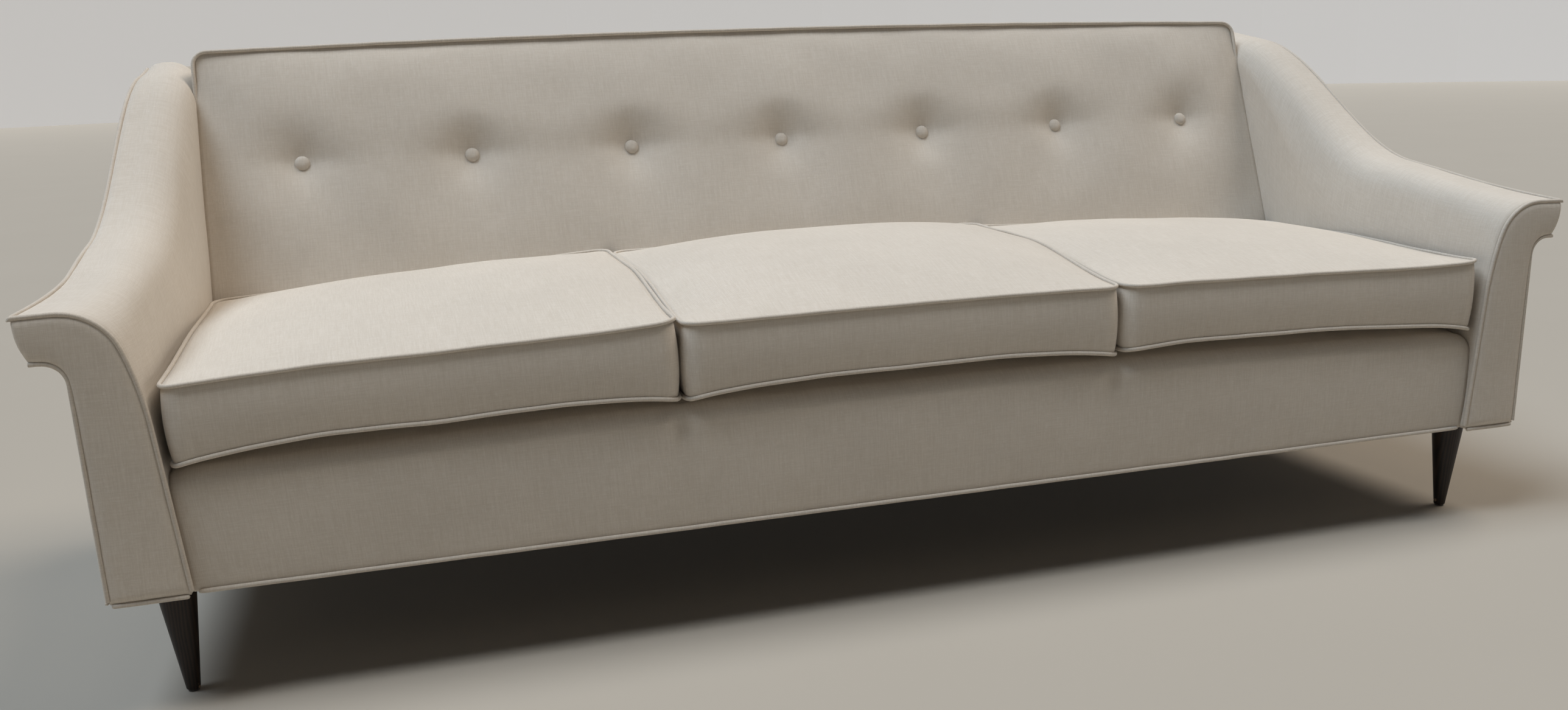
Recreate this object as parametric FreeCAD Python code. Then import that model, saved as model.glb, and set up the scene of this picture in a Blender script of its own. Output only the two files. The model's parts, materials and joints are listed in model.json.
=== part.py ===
import FreeCAD, Part
import math
import os

# Three-seat sofa with a raked, buttoned back, rolled-out arms and three loose cushions.
# Millimetres. X runs to the viewer's right, Y to the rear and Z up. Y is counted from the front
# face of the arms while the pieces are made, and every piece moves to the middle when it is saved.

V = FreeCAD.Vector

# Body
UNDERSIDE = 154.0            # floor to the underside of the body
TIP_SPAN = 2290.0            # over the welts at the tips of the arms
BODY_REAR = 790.0            # rear face of the arms and the back
COVER_T = 2.5                # upholstery fabric with its lining
GAP = 0.3                    # clearance between pieces that only lie together
PAD_T = 11.2                 # foam layer on the arms and the front edge
BEYOND = 1200.0              # further out than any edge of the sofa
WELT_R = 2.5                 # covered cord
FACING_CROWN = 4.0           # how far the padded arm facings stand forward

# Arm, measured on the right arm
ARM_FRONT_HEIGHT = 525.0     # tip of the lip at the front
ARM_SLOPE = 0.165            # steady rise of the arm per millimetre
SWOOP_RISE = 158.0           # extra rise of the swoop up to the back
SWOOP_START = 295.0
SWOOP_END = 680.0
ARM_TOP_REAR_X = 1048.0      # outer edge of the arm's top at the rear
ARM_TOP_TAPER = 52.0         # how much wider that edge stands at the front
TAPER_START = 220.0
TAPER_END = 740.0
EAR_LENGTH = 160.0           # the lip flares out over this length behind the facing
INNER_REAR_X = 968.0         # inner face of the arm beside the back
INNER_TOE_OUT = 13.0         # how much wider the inner face stands at the front, at the bottom
TOE_LENGTH = 540.0
OUTER_REAR_X = 1040.0        # outer face of the arm at the rear, at the bottom
OUTER_TOE_OUT = 39.0
STEM_FLARE = 9.0             # the outer face leans out this much below the front lip
LIP_THICK = 57.0
LIP_SLANT = 0.25             # the end of the lip leans in by this share of its overhang
UNDER_ROUND = 0.53           # radius under the lip, as a share of its overhang
UNDER_SHARE = 0.9            # and at most this share of the room there, inside the padding
MIN_OVERHANG = 6.0
SHOULDER_RUN = 46.0          # flat run from the shoulder of the roll to the tip
SHOULDER_RISE = 1.5          # the shoulder stands this much above the tip
ROLL_DROP_FRONT = 79.5       # height of the roll's tight round at the front
ROLL_DROP_REAR = 45.5
ROLL_LENGTH = 70.0           # the inner face starts to lean this far below it at the front
ROLL_LEAN = 34.0             # how much wider the inner face stands there
ROLL_RATIO = 2.0             # the roll is at most this many times as tall as it is wide
ARM_STATIONS = (0, 40, 80, 120, 160, 220, 300, 370, 440, 510, 580, 650, 720, BODY_REAR)
ARM_COVER_FRONT = 4.0        # front edge of the arm cover, behind the facing
FACING_EDGE = 3.0            # the facing's sides lie this much inside the arm's outline
FACING_SLOPE = 7.0
FACING_FLAT = 15.0
ARM_WELT_Y = 1.0
PAD_FOOT = 4.0               # the padding stops this much above the underside's inner surface
PAD_EASE = 0.6               # the padding lies this loosely inside its cover

# Seat
RAIL_FRONT = 20.0            # front face of the rail cover
EDGE_ROLL = 56.0             # radius of the padded front edge
DECK_CENTRE = 343.0          # height of the decking in the middle
DECK_FALL = 18.0             # how much lower it lies beside the arms
DECK_HALF = 985.0
DECK_REAR = 538.0
SEAT_ENDS = 1012.0           # the seat's covers are made this wide and cut to the arms
EDGE_DEPTH = 110.0           # the rail cover ends and the decking cloth starts here
DECK_PAD_BOTTOM = 308.0

# Back
FACE_Y = 539.0               # the inside back's plane passes this depth
FACE_Z = 440.0               # at this height
RAKE = 0.379                 # run to the rear per millimetre of height
BACK_BOTTOM = 345.0
BACK_TOP = 828.0             # front top edge at the ends
BACK_ARCH = 12.0             # the top edge rises this much to the middle
BACK_REAR_DROP = 13.0        # the rear top edge is this much lower
BACK_BULGE = 16.5            # crown of the inside back
BACK_EDGE_BULGE = 0.5
BACK_CORNER_R = 30.0
BACK_PAD_T = 58.0
BACK_CORNER_RISE = 0.7       # its round corners end this much above the front top edge
BACK_OPEN_FOOT = 4.0         # the cover's underside is open, and its sides end this high
BACK_WELT_TRIM = 0.4         # the cord lies this much inside the panel's edge
BACK_WELT_FOOT = 12.0        # and starts this much above the panel's foot
TUFT_COUNT = 7
TUFT_PITCH = 272.0
TUFT_Z = 645.0
TUFT_RADIUS = 85.0
TUFT_FLOOR = 2.0             # bottom of a tuft, above the face plane
TUFT_RIM = 18.0
TUFT_PILLOW = 4.0            # how full the padding stands between the button and the rim
BUTTON_R = 12.0
BUTTON_H = 6.0
BUTTON_EDGE_H = 2.7
BUTTON_TAPER = 2.0
TWINE_R = 1.0
TWINE_DISC_R = 9.0
TWINE_DISC_T = 1.5

# Frame
WOOD_BOTTOM = UNDERSIDE + COVER_T + GAP + 1.4
RAIL_T = 26.0
RAIL_TOP = 290.0
FRONT_RAIL_Y = 42.0
SEAT_FRAME_HALF = 960.0
BACK_RAIL_Y = 735.0
BACK_RAIL_T = 51.0
STRETCHER_X = 320.0
STRETCHER_W = 30.0
STRETCHER_TOP = 215.0
BLOCK_LEG = 60.0
BLOCK_BOTTOM = 180.0
BLOCK_H = 105.0
SCREW_R = 2.5
SCREW_LEN = 60.0
SCREW_ZS = (195.0, 255.0)
SCREW_SINK = 1.0             # screw ends below the rail's face
SIDE_RAIL_T = 25.0
BOARD_T = 18.0
BOARD_PLAY = 1.0             # the front boards lie this far inside the padding
ARM_RAIL_T = 30.0
ARM_RAIL_X = 997.3
ARM_RAIL_LEAN = 11.5         # its inner face leans out with the padding
ARM_RAIL_TOP = 280.0
TOP_RAIL_T = 22.0
TOP_RAIL_TOE = 51.0          # how much wider the swooping rails stand at the front
TOP_RAIL_DROP = 45.0         # top of the swooping rail below the arm's tip line
TOP_RAIL_H = 65.0
TOP_RAIL_IN = 16.0           # inner face of the swooping rail, in from the padding
POST_T = 38.0
POST_PLAY = 3.0              # rear posts to the padding's inner surface
POST_REAR_INSET = 17.0
UPRIGHT_Y = 380.0
UPRIGHT_W = 40.0
UPRIGHT_T = 16.0
UPRIGHT_INSET = 1.0          # in from the inner edge of the lower rail's top
BOLT_R = 4.0
BOLT_YS = (150.0, 600.0)
BOLT_Z = 230.0
BOLT_HEAD_H = 4.0
BOLT_NUT_H = 6.0
BOLT_TAIL = 2.0              # thread beyond the nut
BOLT_HOLE_X = (900.0, 1040.0)
REAR_POST_X = 890.0
REAR_POST_W = 40.0
REAR_POST_T = 24.5
REAR_POST_TOP = 790.0
BACK_FRAME_GAP = 1.0         # rear posts to the outside back's cover
WEB_T = 1.5
WEB_W = 50.0
TOP_RAIL_V = (322.0, 370.0)  # along the raked back, above the face's origin
TOP_RAIL_DEPTH = 30.0
LOWER_RAIL_V = (-100.0, -50.0)
LOWER_RAIL_DEPTH = 34.0
SIDE_UPRIGHT_X = (918.0, 956.0)
SIDE_UPRIGHT_DEPTH = 38.0
MIDDLE_UPRIGHT_W = 30.0
MIDDLE_UPRIGHT_DEPTH = 28.0

# Springs
SPRING_COUNT = 8
SPRING_PITCH = 240.0
SPRING_WIRE_R = 1.7
SPRING_BAR = 40.0
SPRING_BENDS = 20
SPRING_FRONT = 56.0
SPRING_REAR = 744.0
CLIP_W = 20.0
CLIP_D = 14.0

# Cushions
CUSHION_FRONT = 2.0          # front of the welts
CUSHION_REAR_LOW = 501.0     # rear of the bottom welt
CUSHION_REAR_LEAN = 0.265    # the rear boxing leans with the back
CENTRE_HALF = 334.0          # joints between the cushions
JOINT_GAP = 0.6
OUTER_FRONT_X = 988.0        # outer side of the end cushions at the front
OUTER_REAR_X2 = 965.0        # and at the rear
BOXING = 101.0
CROWN = 64.0                 # rise of the filled top over its edges
CROWN_SHOULDER = 100.0       # the top rises steeply over this run from its front and rear
CROWN_SHOULDER_SHARE = 0.8   # to this share of the crown
CROWN_RUN_OUT = 0.4          # rise left over the cushion's sides
DRAW_IN = 8.0
DRAW_IN_REAR = 12.0          # the boxing's sides are pulled in by the cover's tension
CUSHION_CORNER_R = 16.0
CUSHION_COVER_T = 2.0
CUSHION_LIFT = 0.7           # underside of the centre cushion above the decking
OUTER_FALL = 16.5            # the end cushions lie this much lower beside the arms
CUSHION_WELT_LOW = 0.7       # the lower cord lies this much above the cushion's underside
CUSHION_WELT_HIGH = 1.0      # centre of the upper cord below the boxing's top
ZIP_LENGTH = 470.0
ZIP_HEIGHT = 24.0
ZIP_T = 1.2
SLIDER_L = 24.0
SLIDER_H = 10.0
SLIDER_T = 4.0
SLIDER_START = 4.0           # from the end of the tape
SLIDER_ROUND = 1.2

# Legs
LEG_X = 1009.5
LEG_FRONT_Y = 68.0
LEG_REAR_Y = 700.0
LEG_TOP_R = 26.0
LEG_FOOT_R = 9.0
LEG_FOOT_CHAMFER = 1.6
LEG_TUCK = 6.0               # the foot stands this much nearer the middle than the top
PLATE_T = 2.0
PLATE_R = 27.0
HANGER_R = 4.0
HANGER_IN_LEG = 28.0
HANGER_IN_RAIL = 48.0
HOLE_PLAY = 0.2
GLIDE_R = 7.0
GLIDE_T = 2.0
GLIDE_NAIL_R = 1.2
GLIDE_NAIL = 12.0

# Outside back
PANEL_TOP = 806.0
PANEL_HALF = 1037.0
PANEL_CORNER_R = 30.0
PANEL_BOTTOM = UNDERSIDE + 2 * WELT_R + 1.0
DUST_T = 1.0
DUST_HALF = 966.0

MODEL_FRONT = -FACING_CROWN
MODEL_REAR = BODY_REAR + GAP + 2 * WELT_R
MIDDLE_Y = (MODEL_FRONT + MODEL_REAR) / 2
TIP_X = TIP_SPAN / 2 - WELT_R
PAD_IN = COVER_T + GAP + PAD_T        # inner surface of the padding
PAD_BOTTOM = UNDERSIDE + PAD_IN + PAD_FOOT
BOARD_REAR = ARM_COVER_FRONT + PAD_IN + BOARD_PLAY + BOARD_T
POST_Y = BODY_REAR - POST_REAR_INSET - POST_T
ARM_RAIL_BOTTOM = UNDERSIDE + COVER_T + GAP
BACK_HALF = INNER_REAR_X - GAP
FRAME_DEPTH = BACK_PAD_T + 2 * GAP + WEB_T
SPRING_Z = DECK_PAD_BOTTOM - GAP - SPRING_WIRE_R
WELT_STAND = WELT_R + GAP             # centre of a cushion's welt, out from the boxing
WELT_REACH = WELT_STAND + WELT_R
CUSHION_BASE = DECK_CENTRE + CUSHION_LIFT
OUTER_TILT = math.degrees(math.asin(OUTER_FALL / (OUTER_FRONT_X - CENTRE_HALF)))
RAKE_ANGLE = math.degrees(math.atan(RAKE))
FACE_NORMAL = V(0, -math.cos(math.atan(RAKE)), math.sin(math.atan(RAKE)))


# Small helpers

def smooth(t):
    t = min(max(t, 0.0), 1.0)
    return t * t * (3 - 2 * t)


def box(x0, x1, y0, y1, z0, z1):
    return Part.makeBox(x1 - x0, y1 - y0, z1 - z0, V(x0, y0, z0))


def mirrored(shape):
    return shape.mirror(V(0, 0, 0), V(1, 0, 0))


def opposite(point):
    return V(-point.x, point.y, point.z)


def both_sides(shape):
    return Part.Compound([shape, mirrored(shape)])


def group(shapes):
    solids = []
    for shape in shapes:
        solids += shape.Solids
    return Part.Compound(solids)


def arc_mid(a, b, sagitta, side):
    """Point on an arc from a to b, a sagitta away from the chord towards side."""
    middle = (a + b) * 0.5
    chord = b - a
    normal = side - chord * (side.dot(chord) / chord.dot(chord))
    normal.normalize()
    return middle + normal * sagitta


def line(a, b):
    return Part.LineSegment(a, b).toShape()


def arc(a, mid, b):
    return Part.Arc(a, mid, b).toShape()


def rod(start, end, radius):
    axis = end - start
    return Part.makeCylinder(radius, axis.Length, start, axis)


def sweep(path_edges, radius):
    """Round cord or wire along a path of lines and tangent arcs."""
    path = Part.Wire(path_edges)
    first = path_edges[0]
    start = first.valueAt(first.FirstParameter)
    direction = first.tangentAt(first.FirstParameter)
    profile = Part.Wire([Part.Circle(start, direction, radius).toShape()])
    return path.makePipeShell([profile], True, False)


def raked(shape):
    """Lay a shape made behind the plane y = 0 against the raked plane of the inside back."""
    placed = shape.copy()
    placed.rotate(V(0, 0, 0), V(1, 0, 0), -RAKE_ANGLE)
    placed.translate(V(0, FACE_Y, FACE_Z))
    return placed


def revolved(profile_edges):
    face = Part.Face(Part.Wire(profile_edges))
    return face.revolve(V(0, 0, 0), V(0, 0, 1), 360)


# Arm form

def tip_height(y):
    swoop = smooth((y - SWOOP_START) / (SWOOP_END - SWOOP_START))
    return ARM_FRONT_HEIGHT + ARM_SLOPE * y + SWOOP_RISE * swoop


def tip_x(y):
    taper = 1 - smooth((y - TAPER_START) / (TAPER_END - TAPER_START))
    ear = max(0.0, 1 - y / EAR_LENGTH) ** 2
    ear_reach = TIP_X - ARM_TOP_REAR_X - ARM_TOP_TAPER
    return ARM_TOP_REAR_X + ARM_TOP_TAPER * taper + ear_reach * ear


def crossing(p, along_p, q, along_q):
    """Where two lines in an XZ plane cross, each given by a point and a direction."""
    cross = along_p.x * along_q.z - along_p.z * along_q.x
    reach = ((q.x - p.x) * along_q.z - (q.z - p.z) * along_q.x) / cross
    return p + along_p * reach


def right_of(direction):
    """Unit normal on the right hand of a direction of travel in an XZ plane."""
    return V(direction.z, 0, -direction.x).normalize()


def shifted(hub, point, change):
    """A point on a round moved away from the round's hub."""
    return point + (point - hub).normalize() * change


def arc_about(hub, start, end):
    bisector = ((start - hub).normalize() + (end - hub).normalize()).normalize()
    return arc(start, hub + bisector * (start - hub).Length, end)


def arm_edges(y, inset, place_y=None):
    """Outline of the right arm across its length, with all of its sides moved in by inset."""
    at_y = y if place_y is None else place_y
    toe = 1 - smooth(y / TOE_LENGTH)
    swoop = smooth((y - SWOOP_START) / (SWOOP_END - SWOOP_START))
    top = tip_height(y)
    tip = tip_x(y)
    base_out = OUTER_REAR_X + OUTER_TOE_OUT * (1 - y / BODY_REAR)
    stem_out = base_out + STEM_FLARE * (1 - swoop)
    overhang = max(tip - stem_out, MIN_OVERHANG)
    drop = ROLL_DROP_FRONT + (ROLL_DROP_REAR - ROLL_DROP_FRONT) * swoop

    base = V(INNER_REAR_X + INNER_TOE_OUT * toe, at_y, UNDERSIDE)
    shoulder = V(tip - SHOULDER_RUN, at_y, top + SHOULDER_RISE)
    roll_x = INNER_REAR_X + 2 + ROLL_LEAN * toe
    roll_drop = min(drop + ROLL_LENGTH * (1 - swoop), ROLL_RATIO * (shoulder.x - roll_x))
    roll_start = V(roll_x, at_y, shoulder.z - roll_drop)
    tip_top = V(tip, at_y, top)
    lip_low = V(tip - LIP_SLANT * overhang, at_y, top - LIP_THICK)

    up = (roll_start - base).normalize()
    out = (tip_top - shoulder).normalize()
    from_inner, from_top = right_of(up), right_of(out)
    chord = shoulder - roll_start
    both = up + out
    spread = 2 * (1 - up.dot(out))
    reach = (math.sqrt(chord.dot(both) ** 2 + spread * chord.dot(chord)) - chord.dot(both)) / spread
    join = (roll_start + shoulder + (up - out) * reach) * 0.5
    to_join, back_to_join = join - roll_start, join - shoulder
    low_hub = roll_start + from_inner * (to_join.dot(to_join) / (2 * to_join.dot(from_inner)))
    high_hub = shoulder + from_top * (back_to_join.dot(back_to_join) / (2 * back_to_join.dot(from_top)))

    b = shifted(low_hub, roll_start, -inset)
    c = shifted(high_hub, join, -inset)
    d = shifted(high_hub, shoulder, -inset)
    level = V(1, 0, 0)
    foot = V(0, at_y, UNDERSIDE + inset)
    a = crossing(b, up, foot, level)

    down = V(base_out - stem_out, 0, UNDERSIDE - lip_low.z).normalize()
    lip_line = lip_low - tip_top
    stem = V(stem_out, at_y, lip_low.z) + right_of(down) * inset
    under = lip_low + V(0, 0, inset)
    e = crossing(d, out, tip_top + right_of(lip_line) * inset, lip_line)
    f = crossing(e, lip_line, under, level)
    room = f.x - crossing(stem, down, under, level).x
    under_radius = min(UNDER_ROUND * overhang + inset, UNDER_SHARE * room)
    under_hub = crossing(stem - right_of(down) * under_radius, down, under - V(0, 0, under_radius), level)
    g = under_hub + V(0, 0, under_radius)
    h = under_hub + right_of(down) * under_radius
    i = crossing(h, down, foot, level)
    edges = [line(a, b), arc_about(low_hub, b, c), arc_about(high_hub, c, d), line(d, e), line(e, f),
             line(f, g), arc_about(under_hub, g, h), line(h, i), line(i, a)]
    return edges


def arm_solid(inset):
    front = ARM_COVER_FRONT + inset
    rear = BODY_REAR - inset
    middle = [y for y in ARM_STATIONS if front + 8 < y < rear - 8]
    wires = [Part.Wire(arm_edges(y, inset)) for y in [front] + middle + [rear]]
    return Part.makeLoft(wires, True, False)


def arm_facing():
    steps = ((ARM_COVER_FRONT - GAP, FACING_EDGE), (0.0, FACING_EDGE),
             (-0.75 * FACING_CROWN, FACING_SLOPE), (-FACING_CROWN, FACING_FLAT))
    wires = [Part.Wire(arm_edges(0, inset, y)) for y, inset in steps]
    return Part.makeLoft(wires, True, True)


def arm_welt():
    """The cord up the inner edge to the tip, and the cord under the lip and down the outer edge."""
    edges = arm_edges(0, 0.0, ARM_WELT_Y)
    foot = V(0, 0, 2 * WELT_R + 1)
    inner_start = edges[0].valueAt(edges[0].FirstParameter) + foot
    inner_line = line(inner_start, edges[0].valueAt(edges[0].LastParameter))
    outer_end = edges[7].valueAt(edges[7].LastParameter) + foot
    outer_line = line(edges[7].valueAt(edges[7].FirstParameter), outer_end)
    inner = sweep([inner_line] + edges[1:4], WELT_R)
    outer = sweep([edges[5], edges[6], outer_line], WELT_R)
    return group([inner, outer])


def bolt_holes(radius):
    start, end = BOLT_HOLE_X
    return Part.Compound([rod(V(start, y, BOLT_Z), V(end, y, BOLT_Z), radius) for y in BOLT_YS])


def hanger_axes():
    return [(LEG_X, LEG_FRONT_Y), (LEG_X, LEG_REAR_Y)]


def hanger_holes(radius):
    holes = [rod(V(x, y, UNDERSIDE - 60), V(x, y, UNDERSIDE + 60), radius) for x, y in hanger_axes()]
    return Part.Compound(holes)


def arm_cover():
    shell = arm_solid(0.0).cut(arm_solid(COVER_T))
    return shell.cut(bolt_holes(BOLT_R + HOLE_PLAY)).cut(hanger_holes(HANGER_R + HOLE_PLAY))


def arm_pad():
    shell = arm_solid(COVER_T + PAD_EASE).cut(arm_solid(PAD_IN))
    kept = shell.common(box(0, BEYOND, 0, BODY_REAR, PAD_BOTTOM, BEYOND))
    return kept.cut(bolt_holes(BOLT_R + HOLE_PLAY))


def arm_front_board():
    """Board behind the facing, its edges bevelled to follow the arm."""
    return arm_solid(PAD_IN + BOARD_PLAY).common(box(0, BEYOND, 0, BOARD_REAR, 0, BEYOND))


def arm_lower_rail():
    outer = ARM_RAIL_X + ARM_RAIL_T
    corners = [V(ARM_RAIL_X, BOARD_REAR, ARM_RAIL_BOTTOM), V(outer, BOARD_REAR, ARM_RAIL_BOTTOM),
               V(outer, BOARD_REAR, ARM_RAIL_TOP), V(ARM_RAIL_X + ARM_RAIL_LEAN, BOARD_REAR, ARM_RAIL_TOP)]
    section = Part.Face(Part.makePolygon(corners + corners[:1]))
    rail = section.extrude(V(0, POST_Y - BOARD_REAR, 0))
    return rail.cut(bolt_holes(BOLT_R + HOLE_PLAY)).cut(hanger_holes(HANGER_R + HOLE_PLAY))


def arm_top_rail():
    """Sawn board that follows the swoop of the arm."""
    stations = [BOARD_REAR] + [y for y in ARM_STATIONS if BOARD_REAR + 20 < y < POST_Y - 10] + [POST_Y]
    wires = []
    for y in stations:
        x0 = INNER_REAR_X + PAD_IN + TOP_RAIL_IN + TOP_RAIL_TOE * (1 - smooth(y / TOE_LENGTH))
        z1 = tip_height(y) - TOP_RAIL_DROP
        corners = [V(x0, y, z1 - TOP_RAIL_H), V(x0 + TOP_RAIL_T, y, z1 - TOP_RAIL_H),
                   V(x0 + TOP_RAIL_T, y, z1), V(x0, y, z1)]
        wires.append(Part.makePolygon(corners + corners[:1]))
    return Part.makeLoft(wires, True, True)


def arm_posts():
    """Rear posts, and uprights cut to the slope of the swooping rail that they carry."""
    post_x = INNER_REAR_X + PAD_IN + POST_PLAY
    back_post = box(post_x, post_x + POST_T, POST_Y, POST_Y + POST_T, ARM_RAIL_BOTTOM,
                    tip_height(POST_Y) - TOP_RAIL_DROP)
    upright_x = ARM_RAIL_X + ARM_RAIL_LEAN + UPRIGHT_INSET
    upright_rear = UPRIGHT_Y + UPRIGHT_W
    upright = box(upright_x, upright_x + UPRIGHT_T, UPRIGHT_Y, upright_rear, ARM_RAIL_TOP,
                  tip_height(upright_rear) - TOP_RAIL_DROP - TOP_RAIL_H)
    return group([both_sides(back_post), both_sides(upright.cut(arm_top_rail()))])


def arm_bolts():
    """Carriage bolts that hold each arm frame to the seat frame, with their nuts."""
    inner = SEAT_FRAME_HALF - SIDE_RAIL_T
    outer = ARM_RAIL_X + ARM_RAIL_T
    bolts = []
    for y in BOLT_YS:
        shank = rod(V(inner, y, BOLT_Z), V(outer + BOLT_NUT_H + BOLT_TAIL, y, BOLT_Z), BOLT_R)
        head = rod(V(inner - BOLT_HEAD_H, y, BOLT_Z), V(inner, y, BOLT_Z), 2.2 * BOLT_R)
        nut = rod(V(outer, y, BOLT_Z), V(outer + BOLT_NUT_H, y, BOLT_Z), 1.8 * BOLT_R)
        bolts.append(both_sides(shank.fuse([head, nut])))
    return group(bolts)


# Seat form

def deck_height(x):
    return DECK_CENTRE - DECK_FALL * (x / DECK_HALF) ** 2


def seat_wire(x, inset):
    front = RAIL_FRONT + inset
    roll_y = RAIL_FRONT + EDGE_ROLL
    top = deck_height(x)
    roll_z = top - EDGE_ROLL
    reach = (EDGE_ROLL - inset) * math.sqrt(0.5)
    low = V(x, front, UNDERSIDE + inset)
    roll_start = V(x, front, roll_z)
    roll_mid = V(x, roll_y - reach, roll_z + reach)
    roll_end = V(x, roll_y, top - inset)
    rear_top = V(x, DECK_REAR, top - inset)
    rear_low = V(x, DECK_REAR, UNDERSIDE + inset)
    return Part.Wire([line(low, roll_start), arc(roll_start, roll_mid, roll_end),
                      line(roll_end, rear_top), line(rear_top, rear_low), line(rear_low, low)])


def seat_solid(inset):
    stations = [SEAT_ENDS * n / 3 for n in range(-3, 4)]
    return Part.makeLoft([seat_wire(x, inset) for x in stations], True, False)


def front_rail_cover(arms):
    shell = seat_solid(0.0).cut(seat_solid(COVER_T))
    return shell.common(box(-SEAT_ENDS, SEAT_ENDS, 0, EDGE_DEPTH, 0, 400)).cut(arms)


def deck_cover(arms):
    shell = seat_solid(0.0).cut(seat_solid(COVER_T))
    return shell.common(box(-SEAT_ENDS, SEAT_ENDS, EDGE_DEPTH, DECK_REAR, 300, 400)).cut(arms)


def front_edge_pad(arms):
    shell = seat_solid(COVER_T + GAP).cut(seat_solid(PAD_IN))
    return shell.common(box(-SEAT_ENDS, SEAT_ENDS, 0, EDGE_DEPTH - GAP, PAD_BOTTOM, 400)).cut(arms)


def deck_pad(arms):
    layer = box(-SEAT_ENDS, SEAT_ENDS, EDGE_DEPTH, DECK_REAR, DECK_PAD_BOTTOM, 400)
    return seat_solid(COVER_T + GAP).common(layer).cut(arms)


# Back form

def back_wire(x, inset):
    fade = 1 - (x / BACK_HALF) ** 4
    arch = BACK_ARCH * (1 - (x / BACK_HALF) ** 2)
    bulge = BACK_EDGE_BULGE + BACK_BULGE * fade
    side_step = inset * math.sqrt(1 + RAKE * RAKE)
    low = BACK_BOTTOM + inset
    high = BACK_TOP + arch - inset
    rear = BODY_REAR - inset
    front_low = V(x, FACE_Y + RAKE * (low - FACE_Z) + side_step, low)
    front_high = V(x, FACE_Y + RAKE * (high - FACE_Z) + side_step, high)
    rear_high = V(x, rear, high - BACK_REAR_DROP)
    rear_low = V(x, rear, low)
    crown = arc_mid(front_low, front_high, bulge, FACE_NORMAL)
    return Part.Wire([arc(front_low, crown, front_high), line(front_high, rear_high),
                      line(rear_high, rear_low), line(rear_low, front_low)])


def corner_outline(inset):
    """Upright outline that rounds the two top corners of the back."""
    half = BACK_HALF - inset
    radius = BACK_CORNER_R - inset
    top = BACK_TOP - inset + BACK_CORNER_RISE
    reach = radius * (1 - math.sqrt(0.5))
    right = V(half, 0, top - radius)
    right_mid = V(half - reach, 0, top - reach)
    right_top = V(half - radius, 0, top)
    cap = V(half - radius, 0, BEYOND)
    foot = V(half, 0, 0)
    edges = [line(foot, right), arc(right, right_mid, right_top), line(right_top, cap),
             line(cap, opposite(cap)), line(opposite(cap), opposite(right_top)),
             arc(opposite(right_top), opposite(right_mid), opposite(right)),
             line(opposite(right), opposite(foot)), line(opposite(foot), foot)]
    return Part.Face(Part.Wire(edges)).extrude(V(0, BEYOND, 0))


def tuft_points():
    first = -(TUFT_COUNT - 1) / 2
    y = FACE_Y + RAKE * (TUFT_Z - FACE_Z)
    return [V((first + n) * TUFT_PITCH, y, TUFT_Z) for n in range(TUFT_COUNT)]


def at_tufts(shape):
    turned = []
    for point in tuft_points():
        copy = shape.copy()
        copy.Placement = FreeCAD.Placement(point, FreeCAD.Rotation(V(0, 0, 1), FACE_NORMAL))
        turned.append(copy)
    return turned


def tuft_bell(sink):
    """Bell-shaped hollow that a button pulls into the padding, sunk by the layer's depth."""
    seat = V(BUTTON_R - 1, 0, TUFT_FLOOR - sink)
    rim = V(TUFT_RADIUS, 0, TUFT_RIM - sink)
    pillow = arc_mid(seat, rim, TUFT_PILLOW, V(0, 0, 1))
    outside = V(0, 0, 2 * TUFT_RIM)
    outside_rim = V(TUFT_RADIUS, 0, outside.z)
    return revolved([line(V(0, 0, seat.z), seat), arc(seat, pillow, rim), line(rim, outside_rim),
                     line(outside_rim, outside), line(outside, V(0, 0, seat.z))])


def back_solid(inset):
    ends = BACK_HALF - inset
    stations = [-ends, -800, -550, -275, 0, 275, 550, 800, ends]
    form = Part.makeLoft([back_wire(x, inset) for x in stations], True, False)
    form = form.common(corner_outline(inset))
    return form.cut(at_tufts(tuft_bell(inset)))


def twine_holes():
    depth = 1.5 * BACK_PAD_T
    return at_tufts(Part.makeCylinder(TWINE_R + GAP, depth + TUFT_RIM, V(0, 0, -depth), V(0, 0, 1)))


def back_cover():
    shell = back_solid(0.0).cut(back_solid(COVER_T))
    kept = shell.common(box(-BEYOND, BEYOND, 0, BEYOND, BACK_BOTTOM + BACK_OPEN_FOOT, BEYOND))
    return kept.cut(twine_holes())


def back_pad():
    slab = raked(box(-BEYOND, BEYOND, -BACK_PAD_T, BACK_PAD_T, -BEYOND, BEYOND))
    return back_solid(COVER_T + GAP).common(slab).cut(twine_holes())


def back_welt():
    """Cord round the front panel of the back, up both sides and over the arched top."""
    depth = -(BACK_EDGE_BULGE + WELT_R + BACK_WELT_TRIM)
    side = BACK_HALF - WELT_R - BACK_WELT_TRIM
    run = math.sqrt(1 + RAKE * RAKE)
    top = (BACK_TOP - FACE_Z) * run - WELT_R
    low = (BACK_BOTTOM + BACK_WELT_FOOT - FACE_Z) * run
    arch = BACK_ARCH * run
    radius = BACK_CORNER_R - WELT_R
    arch_radius = (side * side + arch * arch) / (2 * arch)
    arch_hub = V(0, depth, top + arch - arch_radius)
    hub_drop = math.sqrt((arch_radius - radius) ** 2 - (side - radius) ** 2)
    hub = V(-side + radius, depth, arch_hub.z + hub_drop)
    turn = V(-side, depth, hub.z)
    turn_end = hub + (hub - arch_hub).normalize() * radius
    start = V(-side, depth, low)
    edges = [line(start, turn), arc_about(hub, turn, turn_end),
             arc(turn_end, V(0, depth, top + arch), opposite(turn_end)),
             arc_about(opposite(hub), opposite(turn_end), opposite(turn)),
             line(opposite(turn), opposite(start))]
    return raked(sweep(edges, WELT_R))


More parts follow.
